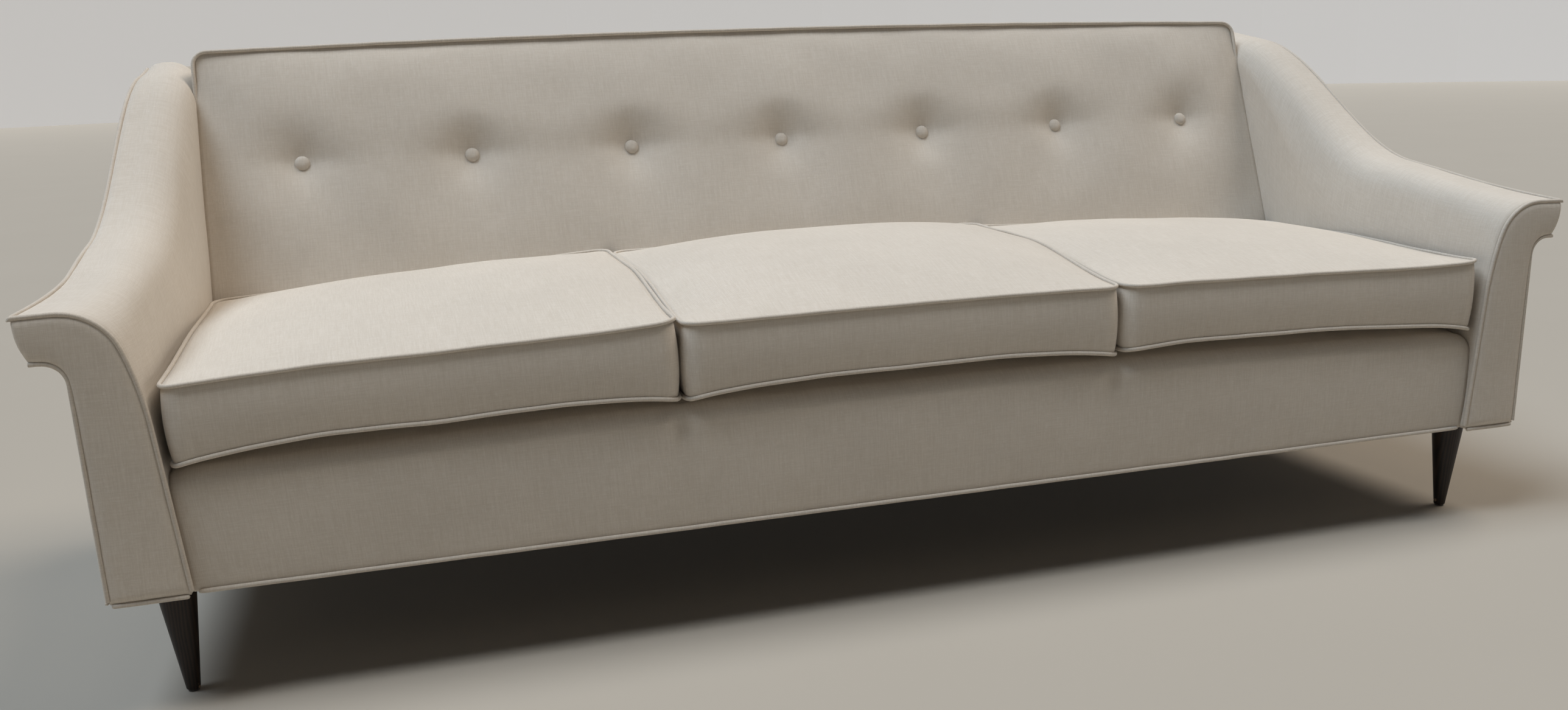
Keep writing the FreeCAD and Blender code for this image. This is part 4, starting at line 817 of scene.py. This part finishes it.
def stretched_cloth(name, wide, high, at, cell, bow, pull):
    """A sheet pulled to its tacks: at() turns width, height and bow into a place."""
    columns, rows = int(wide / cell), int(high / cell)
    points, cloth = [], []
    for r in range(rows + 1):
        t = r / rows
        row, flat = [], []
        for c in range(columns + 1):
            s = c / columns
            fullness = (1 - (2 * s - 1) ** 8) * (1 - (2 * t - 1) ** 8)
            edge_x = pull * math.sin(s * columns * 1.9) * (2 * t - 1) ** 20 * (1 if t > 0.5 else -1)
            edge_z = pull * math.sin(t * rows * 1.9) * (2 * s - 1) ** 20 * (1 if s > 0.5 else -1)
            row.append(at((s - 0.5) * wide - edge_z, t * high - edge_x, bow * fullness))
            flat.append((s * wide, t * high))
        points.append(row)
        cloth.append(flat)
    skin = Skin()
    skin.grid(points, cloth)
    return skin.make(name)


def with_round_corners(x, z, half, top, corner):
    """Moves a point of a panel so that the panel's two upper corners become round."""
    over_x, over_z = abs(x) - (half - corner), z - (top - corner)
    if over_x > 0 and over_z > 0:
        a, b = over_x / corner, over_z / corner
        x = math.copysign(half - corner + corner * a * math.sqrt(1 - b * b / 2), x)
        z = top - corner + corner * b * math.sqrt(1 - a * a / 2)
    return x, z


def outside_back():
    def at(x, up, bow):
        x, z = with_round_corners(x, UNDERSIDE + OUTSIDE_FOOT + up, OUTSIDE_HALF, OUTSIDE_TOP, OUTSIDE_CORNER)
        return x, BODY_REAR + OUTSIDE_OUT + bow, z

    high = OUTSIDE_TOP - UNDERSIDE - OUTSIDE_FOOT
    piece = stretched_cloth("outside_back_cloth", 2 * OUTSIDE_HALF, high, at, cell=12.0, bow=1.4, pull=0.8)
    turn_to(piece, (0, 1, 0))
    uneven(piece, 0.5, 110, 23.0)
    thickened(piece, 1.2, outward=True)
    return piece


def dust_cloth():
    def at(x, up, bow):
        return x, DUST_FRONT + up, UNDERSIDE + DUST_UP - bow

    piece = stretched_cloth("dust_cover_cloth", DUST_WIDE, DUST_DEEP, at, cell=14.0, bow=2.0, pull=1.0)
    turn_to(piece, (0, 0, -1))
    uneven(piece, 0.7, 70, 29.0)
    thickened(piece, 0.6)
    return piece


dressed(rail_cloth(), LINEN, stands_for=("front_rail_cover", "front_edge_pad"))
dressed(deck_cloth(), DECKING, stands_for=("deck_cover", "deck_pad"))
rear_cloth = dressed(outside_back(), LINEN, stands_for=("outside_back_panel",))
under_cloth = dressed(dust_cloth(), FELT, stands_for=("dust_cover",))


# Welt round the underside

def foot_runs():
    """The straight runs of the welt by name, each a row of points just outside the covers' lower edge."""
    front, rear = INNER_FOOT - 5, OUTER_REAR_X
    runs = {
        "foot_welt_front": [(x, RAIL_FOOT - HEM_PROUD, HEM_Z) for x in np.linspace(-front, front, 160)],
        "foot_welt_rear": [(x, BODY_REAR + HEM_OUT, HEM_Z) for x in np.linspace(-rear, rear, 160)],
    }
    for side, sign in (("right", 1), ("left", -1)):
        runs["foot_welt_facing_" + side] = [
            (sign * x, FACING_HEM_Y, UNDERSIDE + FACING_HEM_UP)
            for x in np.linspace(INNER_FOOT + 3, OUTER_FOOT - 3, 14)]
        runs["foot_welt_side_" + side] = [
            (sign * (OUTER_FOOT + HEM_OUT - OUTER_TOE_OUT * s),
             ARM_COVER_FRONT + (BODY_REAR - ARM_COVER_FRONT) * s, HEM_Z) for s in np.linspace(0, 1, 70)]
    return runs


for name, run in foot_runs().items():
    wavy = [(x, y, z + 0.5 * noise.noise(Vector((x / 60.0, y / 60.0, 7.0)))) for x, y, z in run]
    cord = tube(name, wavy, WELT_R, (0, 0, 1))
    rounded(cord)
    dressed(cord, LINEN_CORD, stands_for=("bottom_welt",))


# Back

FACE_OUT = unit(np.array([0.0, -1.0, RAKE]))
TUFT_V = (TUFT_Z - FACE_Z) * RUN
TUFTS = [(n - (TUFT_COUNT - 1) / 2) * TUFT_PITCH for n in range(TUFT_COUNT)]
PANEL_LOW, PANEL_HIGH = (BACK_BOTTOM - FACE_Z) * RUN, (BACK_TOP - FACE_Z) * RUN


def on_back(x, v, out):
    """A point on the raked plane: across, up the slope, and out of it."""
    z = FACE_Z + v / RUN
    return np.array([x, FACE_Y + RAKE * (z - FACE_Z), z]) + FACE_OUT * out


def back_fullness(x, v):
    """How far the filled face stands out of its plane: a pillow with seven buttoned hollows."""
    t = (v - PANEL_LOW) / (PANEL_HIGH - PANEL_LOW)
    steep = BACK_FOOT_POWER if t < 0.5 else BACK_TOP_POWER
    swell = BACK_SWELL + BACK_SWELL_MORE * smooth((t - 0.2) / 0.3)
    to_sides = 1 - min(abs(x) / BACK_SIDE, 1.0) ** BACK_SIDE_POWER
    full = BACK_EDGE_OUT + swell * to_sides * (1 - min(abs(2 * t - 1), 1.0) ** steep)
    near = min(TUFTS, key=lambda u: abs(u - x))
    across, up = x - near, v - TUFT_V
    away = math.hypot(across, up * (TUFT_SQUASH if up < 0 else 1.0))
    hollow = math.exp(-(max(away - TUFT_FLAT, 0.0) / TUFT_REACH) ** TUFT_POWER)
    crease = (CREASE * math.exp(-(up / (CREASE_HALF + CREASE_WIDEN * abs(across))) ** 2)
              * math.exp(-(abs(across) / CREASE_LENGTH) ** 2))
    valley = VALLEY * math.exp(-(up / VALLEY_HALF) ** 2)
    pull = min(hollow + (crease + valley) * (1 - hollow), 1.0)
    return full + (TUFT_FLOOR - full) * pull


def back_grid(cells_x, cells_v):
    """Rows of places on the panel, across and up the slope, up to its arched top edge."""
    rows = []
    for r in range(cells_v + 1):
        row = []
        for c in range(cells_x + 1):
            x = (2 * c / cells_x - 1) * BACK_SIDE
            arch = BACK_ARCH * (1 - (x / BACK_SIDE) ** 2)
            high = (BACK_TOP + arch - FACE_Z) * RUN
            v = PANEL_LOW + (high - PANEL_LOW) * r / cells_v
            row.append(with_round_corners(x, v, BACK_SIDE, high, BACK_CORNER))
        rows.append(row)
    return rows


def rim_of(rows):
    """The outer ring of a grid, once round."""
    return (rows[0] + [row[-1] for row in rows[1:]] + rows[-1][-2::-1] + [row[0] for row in rows[-2:0:-1]]
            + [rows[0][0]])


def back_shape():
    """The sewn cover of the back: its filled face, its boxing and its rear."""
    flat = back_grid(246, 66)
    front = [[tuple(on_back(x, v, back_fullness(x, v))) for x, v in row] for row in flat]
    skin = Skin()
    skin.grid(front, flat)
    rear = []
    for row in front:
        rear.append([(x, BODY_REAR, z - BACK_REAR_DROP * (z - BACK_BOTTOM) / (BACK_TOP - BACK_BOTTOM))
                     for x, _, z in row])
    skin.grid(rear, flat)
    front_rim, rear_rim, flat_rim = rim_of(front), rim_of(rear), rim_of(flat)
    around = lengths_along(flat_rim)
    box, cloth = [], []
    for s in np.linspace(0, 1, 15):
        line = []
        for p, q, (_, v) in zip(front_rim, rear_rim, flat_rim):
            puff = BACK_PUFF * math.sin(math.pi * min(4 * s, 1.0) / 2) * (1 - s) if v > 400 else 0.0
            line.append((p[0] + (q[0] - p[0]) * s, p[1] + (q[1] - p[1]) * s, p[2] + (q[2] - p[2]) * s + puff))
        box.append(line)
        cloth.append([(u, s * BACK_BOXING) for u in around])
    skin.grid(box, cloth)
    return skin.make("tufted_back_cloth")


def back_cover():
    """The back's cover, inflated between its seams and its buttons."""
    piece = back_shape()
    points = coordinates(piece) / MM + np.array([0, MIDDLE_Y, 0])
    depth = (points[:, 1] - FACE_Y - RAKE * (points[:, 2] - FACE_Z)) / RUN
    v = (points[:, 2] - FACE_Z) * RUN
    top_edge = SEWN_TOP + SEWN_ARCH * (1 - (points[:, 0] / BACK_SIDE) ** 2)
    nearest = np.min([np.hypot(points[:, 0] - u, v - TUFT_V) for u in TUFTS], axis=0)
    pins = np.zeros(len(points))
    pins[depth > SEWN_BEHIND] = 1.0
    pins[(np.abs(points[:, 0]) > BACK_SIDE - SEWN_SIDE) | (v < SEWN_FOOT) | (v > top_edge)] = 1.0
    pins[nearest < SEWN_TUFT] = 1.0
    cap = BACK_GIVE + BACK_GIVE_MORE * (1 - np.exp(-(nearest / BACK_GIVE_LENGTH) ** 2))
    inflated(piece, BACK_PRESSURE, BACK_FRAMES, cap, pins, stiffness=8.0, bending=0.2)
    uneven(piece, 1.2, 90, 37.0)
    return piece


def back_cord():
    """The cord round the face of the back: up one side, over the arched top and down the other."""
    side = BACK_SIDE - BACK_CORD_IN
    low, high = (BACK_BOTTOM + 12 - FACE_Z) * RUN, PANEL_HIGH - 2.0
    corner = BACK_CORNER - 2.4
    path = [(-side, v) for v in np.linspace(low, high - corner, 60)]
    for a in np.linspace(0, math.pi / 2, 9)[1:]:
        path.append((-side + corner * (1 - math.cos(a)), high - corner + corner * math.sin(a)))
    flank = len(path)
    half = side - corner
    arch = BACK_ARCH * RUN
    path += [(x, high + arch * (1 - (x / half) ** 2)) for x in np.linspace(-side + corner, half, 220)[1:-1]]
    path += [(-x, v) for x, v in path[:flank][::-1]]
    points = []
    for x, v in path:
        ripple = 0.6 * noise.noise(Vector((x / 45.0, v / 45.0, 3.0)))
        tucked = BACK_CORD_TUCK * (1 - smooth((v - high + 95.0) / 70.0))
        points.append(on_back(x, v + ripple, BACK_CORD_OUT + 0.3 * ripple - tucked))
    piece = tube("back_welt_cord", points, WELT_R, FACE_OUT)
    rounded(piece)
    return piece


def pick_faces(piece, wanted):
    """In edit mode, with only the wanted faces selected."""
    bpy.ops.object.mode_set(mode="EDIT")
    bpy.ops.mesh.select_mode(type="FACE")
    bpy.ops.mesh.select_all(action="DESELECT")
    bpy.ops.object.mode_set(mode="OBJECT")
    for face in piece.data.polygons:
        face.select = wanted(face)
    bpy.ops.object.mode_set(mode="EDIT")


def covered_button():
    """A domed button: a disc whose face is inset and raised ring by ring, with its cloth turned under."""
    bpy.ops.object.select_all(action="DESELECT")
    bpy.ops.mesh.primitive_cylinder_add(vertices=28, radius=BUTTON_R * MM, depth=BUTTON_T * MM)
    button = bpy.context.active_object
    pick_faces(button, lambda face: face.normal.z > 0.9)
    for narrower, higher in ((0.9, 1.5), (1.9, 1.5), (2.6, 1.1), (3.0, 0.6)):
        bpy.ops.mesh.inset(thickness=narrower * MM, depth=higher * MM)
    bpy.ops.object.mode_set(mode="OBJECT")
    pick_faces(button, lambda face: face.normal.z < -0.9)
    bpy.ops.mesh.inset(thickness=1.6 * MM, depth=0.7 * MM)
    bpy.ops.object.mode_set(mode="OBJECT")
    rounded(button, 2)
    weave = button.data.uv_layers.active.data
    for loop, spot in zip(button.data.loops, weave):
        spot.uv = button.data.vertices[loop.vertex_index].co.xy
    bpy.ops.object.shade_smooth()
    button.rotation_euler = (math.atan2(1, RAKE), 0, 0)
    bpy.ops.object.transform_apply()
    return button


def covered_buttons():
    first = covered_button()
    shape = coordinates(first)
    buttons = []
    for number, u in enumerate(TUFTS, 1):
        button = first
        if number > 1:
            button = bpy.data.objects.new("button", first.data.copy())
            bpy.context.collection.objects.link(button)
        button.name = button.data.name = f"covered_button_{number}"
        set_coordinates(button, shape + placed(on_back(u, TUFT_V, BUTTON_OUT)))
        buttons.append(button)
    return buttons


dressed(back_cover(), LINEN, stands_for=("back_cover", "back_pad"))
dressed(back_cord(), LINEN_CORD, stands_for=("back_welt",))
for button in covered_buttons():
    dressed(button, LINEN, stands_for=("tuft_buttons",))


# Seat cushions

# What differs from cushion to cushion. The sides are x at the joint, and at the far side in front
# and at the rear. The pairs after them hold one value for each of the two sides: how far the cover
# has slipped to the right, how much higher its seams stand at the rear, and how far the upper seam
# is pulled up and the lower one down at the front corner. The left cushion is made as a right one
# and mirrored.
JOINT_SIDE = CENTRE_HALF + JOINT_GAP + WELT_REACH
CENTRE_SIDE = CENTRE_HALF - JOINT_GAP - WELT_REACH
CUSHIONS = {
    "left": {"sides": (JOINT_SIDE, ARM_SIDE_FRONT, ARM_SIDE_REAR), "slips": (0.0, 0.0),
             "rises": (JOINT_RISE + JOINT_STEP, ARM_RISE), "ears": (9.0, -3.0), "droops": (6.0, 9.0),
             "crown": CROWN_OUTER, "waves": 4.0, "cord_waves": 2.0},
    "centre": {"sides": (-CENTRE_SIDE, CENTRE_SIDE, CENTRE_SIDE), "slips": (0.0, JOINT_SLIP),
               "rises": (JOINT_RISE - JOINT_STEP, JOINT_RISE + JOINT_STEP), "ears": (2.0, 1.0),
               "droops": (8.0, 6.5), "crown": CROWN_CENTRE, "waves": 11.0, "cord_waves": 3.0},
    "right": {"sides": (JOINT_SIDE, ARM_SIDE_FRONT, ARM_SIDE_REAR), "slips": (JOINT_SLIP, 0.0),
              "rises": (JOINT_RISE - JOINT_STEP, ARM_RISE), "ears": (1.0, 9.0), "droops": (1.5, 9.0),
              "crown": CROWN_OUTER, "waves": 18.0, "cord_waves": 4.0},
}


def draw(t):
    return 4 * t * (1 - t)


def round_corner(a, b, r, width, depth):
    """Moves a point of a rectangle so that the rectangle's corners become round."""
    near_a = r - a if a < r else (a - width + r if a > width - r else 0.0)
    near_b = r - b if b < r else (b - depth + r if b > depth - r else 0.0)
    if near_a <= 0 or near_b <= 0:
        return a, b
    new_a = near_a * math.sqrt(1 - near_b ** 2 / (2 * r * r))
    new_b = near_b * math.sqrt(1 - near_a ** 2 / (2 * r * r))
    a = r - new_a if a < r else width - r + new_a
    b = r - new_b if b < r else depth - r + new_b
    return a, b


def rear_of_cushion(z):
    return CUSHION_REAR + REAR_LEAN * z


def cushion_plan(kind, s, t, z):
    """Where a cushion's side or seam stands at a height: s goes across it and t to the rear."""
    x0, x1_front, x1_rear = kind["sides"]
    slip, far_slip = kind["slips"]
    x0, x1_front, x1_rear = x0 + slip, x1_front + far_slip, x1_rear + far_slip
    outer = x0 > 0
    if outer:
        x1_front += ARM_LEAN * min(z / BOXING, 1.2)
    rear = rear_of_cushion(z)
    width, depth = x1_front - x0, rear - CUSHION_FRONT
    a, b = round_corner(s * width, t * depth, CUSHION_CORNER, width, depth)
    s, t = a / width, b / depth
    left = x0 + SIDE_DRAW * draw(t)
    right = x1_front + (x1_rear - x1_front) * t - (ARM_DRAW if outer else SIDE_DRAW) * draw(t)
    near, far = CUSHION_FRONT + FRONT_DRAW * draw(s), rear - FRONT_DRAW * draw(s)
    return left + (right - left) * s, near + (far - near) * t


def cushion_seams(kind, s, t):
    """Heights of the two seams: pulled up by the filling at the rear, each front corner on its own."""
    first, last = kind["rises"]
    rise = (first + (last - first) * s) * smooth(t / RISE_LENGTH)
    wave = noise.noise(Vector((s * 3.2 + kind["waves"], t * 2.4, kind["waves"])))
    front = (1 - t) ** 3
    near, far = math.exp(-s / CORNER_SPREAD), math.exp(-(1 - s) / CORNER_SPREAD)
    ears, droops = kind["ears"], kind["droops"]
    high = BOXING + rise + (3.0 * draw(s) + 1.2 * wave * draw(s) + ears[0] * near + ears[1] * far) * front
    sag = UNDER_SAG * draw(s) ** 0.6 + 4.0 * wave * draw(s) - droops[0] * near - droops[1] * far
    return UNDER_SEAM + sag * front, high


def cushion_top(kind, s, t):
    across = 1 - abs(2 * s - 1) ** CROWN_SIDE_POWER
    deep = 1 - abs(2 * t - 1) ** (CROWN_FRONT_POWER if t < 0.5 else CROWN_REAR_POWER)
    waves = kind["waves"]
    soft = 1.6 * noise.noise(Vector((s * 7.0 + waves, t * 6.0, waves))) * across * deep
    return cushion_seams(kind, s, t)[1] + kind["crown"] * across * deep + soft


def cushion_cloth(place):
    """A cushion's inflated cover, and where its lower and upper seam then lie."""
    kind = CUSHIONS[place]
    steps_s, steps_t = np.linspace(0, 1, CELLS_S + 1), np.linspace(0, 1, CELLS_T + 1)
    top, under = [], []
    for t in steps_t:
        top_row, under_row = [], []
        for s in steps_s:
            low, high = cushion_seams(kind, s, t)
            x, y = cushion_plan(kind, s, t, high)
            top_row.append((x, y, cushion_top(kind, s, t)))
            x, y = cushion_plan(kind, s, t, low)
            edge = min(s, 1 - s, t, 1 - t)
            under_row.append((x, y, low - 2.6 * smooth(edge / 0.04)))
        top.append(top_row)
        under.append(under_row)
    skin = Skin()
    skin.grid(top, [[(x, y) for x, y, _ in row] for row in top])
    skin.grid(under, [[(x, y) for x, y, _ in row] for row in under])
    ring = rim_of([[(s, t) for s in steps_s] for t in steps_t])
    levels = [cushion_seams(kind, s, t) for s, t in ring]
    around = lengths_along([cushion_plan(kind, s, t, BOXING) for s, t in ring])
    wall, cloth = [], []
    for share in np.linspace(0, 1, CELLS_Z + 1):
        heights = [low + (high - low) * share for low, high in levels]
        line = np.array([cushion_plan(kind, s, t, z) for (s, t), z in zip(ring, heights)])
        way = np.roll(line[:-1], -1, 0) - np.roll(line[:-1], 1, 0)
        way = np.vstack([way, way[:1]])
        out = np.stack([way[:, 1], -way[:, 0]], -1) / np.linalg.norm(way, axis=1)[:, None]
        bulge = BOXING_BULGE * math.sin(math.pi * share) ** 0.7
        fall = np.array([1 - 0.7 * smooth((t - 0.9) / 0.08) for s, t in ring])
        line += out * (bulge * fall)[:, None]
        wall.append([(x, y, z) for (x, y), z in zip(line, heights)])
        cloth.append([(u, z) for u, z in zip(around, heights)])
    skin.grid(wall, cloth)
    piece = skin.make("seat_cushion_cloth_" + place)

    points = coordinates(piece)
    tree = kdtree.KDTree(len(points))
    for n, point in enumerate(points):
        tree.insert(point, n)
    tree.balance()

    def found(line):
        return [tree.find(point)[1] for point in placed(line)]

    # The underside and the rear hold still, the seams give a little, and the top gives the most.
    pins, cap = np.zeros(len(points)), np.full(len(points), BOXING_GIVE)
    seams = [found(wall[0][:-1]), found(wall[-1][:-1])]
    for row in top[1:-1]:
        cap[found(row[1:-1])] = TOP_GIVE
    for row in under:
        pins[found(row)] = 1.0
    for row in wall:
        pins[found([p for p, (s, t) in zip(row, ring) if t > 0.97])] = 1.0
    for line in seams:
        pins[line], cap[line] = SEAM_HOLD, SEAM_GIVE
    filled = inflated(piece, CUSHION_PRESSURE, CUSHION_FRAMES, cap, pins)
    return piece, [filled[line] / MM + np.array([0, MIDDLE_Y, 0]) for line in seams]


def cushion_cord(name, line, waves):
    """The cord sewn round a cushion along one of its seams, just outside it."""
    centre = line.mean(axis=0)
    tangents = np.roll(line, -1, 0) - np.roll(line, 1, 0)
    out = np.cross(tangents, np.array([0, 0, 1.0]))
    out /= np.linalg.norm(out, axis=1)[:, None]
    if (out * (line - centre)).sum() < 0:
        out = -out
    path = line + out * CUSHION_CORD_OUT
    for point in path:
        ripple = noise.noise(Vector((point[0] / 70.0, point[1] / 70.0, waves)))
        point[2] += CUSHION_CORD_UP + 0.9 * ripple
    path = (np.roll(path, 1, 0) + 2 * path + np.roll(path, -1, 0)) / 4
    piece = tube(name, path, WELT_R, (0, 0, 1), closed=True)
    rounded(piece)
    return piece


def seat(piece, place):
    """Lays a cushion made on a flat plane onto the crowned seat: the end ones tilt down to the arms."""
    points = coordinates(piece) / MM
    if place != "centre":
        across, up = points[:, 0] - CENTRE_HALF, points[:, 2].copy()
        points[:, 0] = CENTRE_HALF + across * math.cos(OUTER_TILT) + up * math.sin(OUTER_TILT)
        points[:, 2] = up * math.cos(OUTER_TILT) - across * math.sin(OUTER_TILT)
    points[:, 2] += CUSHION_BASE
    if place == "left":
        points[:, 0] *= -1
        piece.data.flip_normals()
    set_coordinates(piece, points * MM)


def zip_of(place):
    """The zip's tape along the back boxing, with the coil that stands along its middle."""
    x0, _, x1 = CUSHIONS[place]["sides"]
    middle = (x0 + x1) / 2

    def at(x, z, out):
        s = (x - x0) / (x1 - x0)
        return x, rear_of_cushion(z) - ZIP_DRAW * draw(s) + out, z

    skin = Skin()
    xs = np.linspace(middle - ZIP_HALF, middle + ZIP_HALF, 95)
    zs = np.linspace(ZIP_LOW, ZIP_HIGH, 9)
    skin.grid([[at(x, z, 1.0) for x in xs] for z in zs], [[(x, z) for x in xs] for z in zs])
    tape = skin.make("zip_tape_cloth_" + place)
    turn_to(tape, (0, 1, 0))
    thickened(tape, 0.8)
    start = middle - ZIP_COIL_HALF
    line = [at(x, ZIP_MIDDLE, 1.6) for x in np.linspace(start, middle + ZIP_COIL_HALF, ZIP_TEETH)]
    coil = tube("zip_coil_" + place, line, 1.1, (0, 0, 1), sides=6)
    bend = coordinates(coil)
    pitch = 2 * ZIP_COIL_HALF / (ZIP_TEETH - 1)
    tooth = np.round((bend[:, 0] / MM - start) / pitch).astype(int)
    bend[:, 2] += np.where(tooth % 2 == 0, TOOTH_RISE, -TOOTH_RISE) * MM
    set_coordinates(coil, bend)
    return tape, coil


for place, kind in CUSHIONS.items():
    body = "seat_cushion_" + place
    cushion, seams = cushion_cloth(place)
    seat(cushion, place)
    dressed(cushion, LINEN, body, ("cushion_cover_" + place, "cushion_core_" + place))
    for level, seam in zip(("low", "high"), seams):
        cord = cushion_cord(f"cushion_welt_{level}_{place}", seam, kind["cord_waves"])
        seat(cord, place)
        dressed(cord, LINEN_CORD, body, ("cushion_welts_" + place,))
    for strip in zip_of(place):
        seat(strip, place)
        dressed(strip, TAPE, body, ("zip_tape_" + place,))


# Studio

FLOOR_ACROSS, BACKDROP_RADIUS, BACKDROP_HEIGHT = 44, 20, 6
BACKDROP_GLOW_FRONT, BACKDROP_GLOW_BEHIND = 0.12, 0.46
AIR_GLOW = 0.045
SUN_SPREAD = math.radians(32)

# Energy, colour and tilt in degrees
SUNS = {
    "window_light": (2.35, (0.77, 0.88, 1.0), (0, -24)),
    "room_light": (1.65, (1.0, 0.90, 0.79), (-1, 30)),
}


def studio_floor():
    bpy.ops.object.select_all(action="DESELECT")
    bpy.ops.mesh.primitive_plane_add(size=FLOOR_ACROSS, location=(0, 0, 0))
    floor = bpy.context.active_object
    floor.name = "studio_floor"
    paper, tree, shader = finish_named("pale_studio_floor")
    grain = noise_at(tree, mapped(tree, (2.0, 2.0, 2.0), "Object"), 2.0)
    shade = blended(tree, grain, (0.395, 0.358, 0.305), (0.409, 0.371, 0.317))
    tree.links.new(shade, shader.inputs["Base Color"])
    shader.inputs["Roughness"].default_value = 0.9
    floor.data.materials.append(paper)


def studio_backdrop():
    """A low round wall that glows a little, and more behind the sofa than in front of it."""
    bpy.ops.mesh.primitive_cylinder_add(vertices=96, radius=BACKDROP_RADIUS, depth=BACKDROP_HEIGHT,
                                        end_fill_type="NOTHING", location=(0, 0, BACKDROP_HEIGHT / 2))
    wall = bpy.context.active_object
    wall.name = "studio_backdrop"
    bpy.ops.object.transform_apply()
    glow, tree, shader = finish_named("pale_studio_backdrop")
    where = put(tree, "ShaderNodeTexCoord")
    split = put(tree, "ShaderNodeSeparateXYZ")
    tree.links.new(where.outputs["Object"], split.inputs[0])
    strength = spread(tree, split.outputs["Y"], -12, 12, BACKDROP_GLOW_FRONT, BACKDROP_GLOW_BEHIND)
    tree.links.new(strength, shader.inputs["Emission Strength"])
    shader.inputs["Base Color"].default_value = (0.2, 0.2, 0.2, 1)
    shader.inputs["Emission Color"].default_value = (1.0, 0.975, 0.945, 1)
    wall.data.materials.append(glow)
    wall.visible_shadow = False


def studio_lights():
    """A cool soft light and a warm one, both from above, with a faint glow all round."""
    world = bpy.data.worlds.new("studio_air")
    bpy.context.scene.world = world
    world.use_nodes = True
    air = world.node_tree.nodes["Background"]
    air.inputs["Color"].default_value = (0.95, 0.96, 1.0, 1)
    air.inputs["Strength"].default_value = AIR_GLOW
    for name, (energy, colour, (tilt_x, tilt_y)) in SUNS.items():
        light = bpy.data.lights.new(name, "SUN")
        light.energy = energy
        light.angle = SUN_SPREAD
        light.color = colour
        lamp = bpy.data.objects.new(name, light)
        lamp.rotation_euler = (math.radians(tilt_x), math.radians(tilt_y), 0)
        bpy.context.collection.objects.link(lamp)
    bpy.context.scene.view_settings.view_transform = "Standard"


# Camera: the photo's place and direction of view, its focal length in pixels and its width

EYE = (-0.741, -2.21065, 0.814)
YAW, PITCH, ROLL = math.radians(16.815), math.radians(12.54), math.radians(1.75)
FOCAL_PIXELS, PHOTO_WIDTH, SENSOR_WIDTH = 2305.0, 2576.0, 36.0


def camera():
    ahead = np.array([math.sin(YAW) * math.cos(PITCH), math.cos(YAW) * math.cos(PITCH), -math.sin(PITCH)])
    right = np.array([math.cos(YAW), -math.sin(YAW), 0.0])
    down = np.cross(ahead, right)
    c, s = math.cos(ROLL), math.sin(ROLL)
    x_axis, y_axis = c * right + s * down, -(-s * right + c * down)
    data = bpy.data.cameras.new("view")
    data.sensor_width = SENSOR_WIDTH
    data.lens = SENSOR_WIDTH * FOCAL_PIXELS / PHOTO_WIDTH
    data.clip_end = 200.0
    eye = bpy.data.objects.new("view", data)
    turn = Matrix((x_axis, y_axis, -ahead)).transposed().to_4x4()
    eye.matrix_world = Matrix.Translation(EYE) @ turn
    bpy.context.collection.objects.link(eye)
    bpy.context.scene.camera = eye


studio_floor()
studio_backdrop()
studio_lights()
camera()
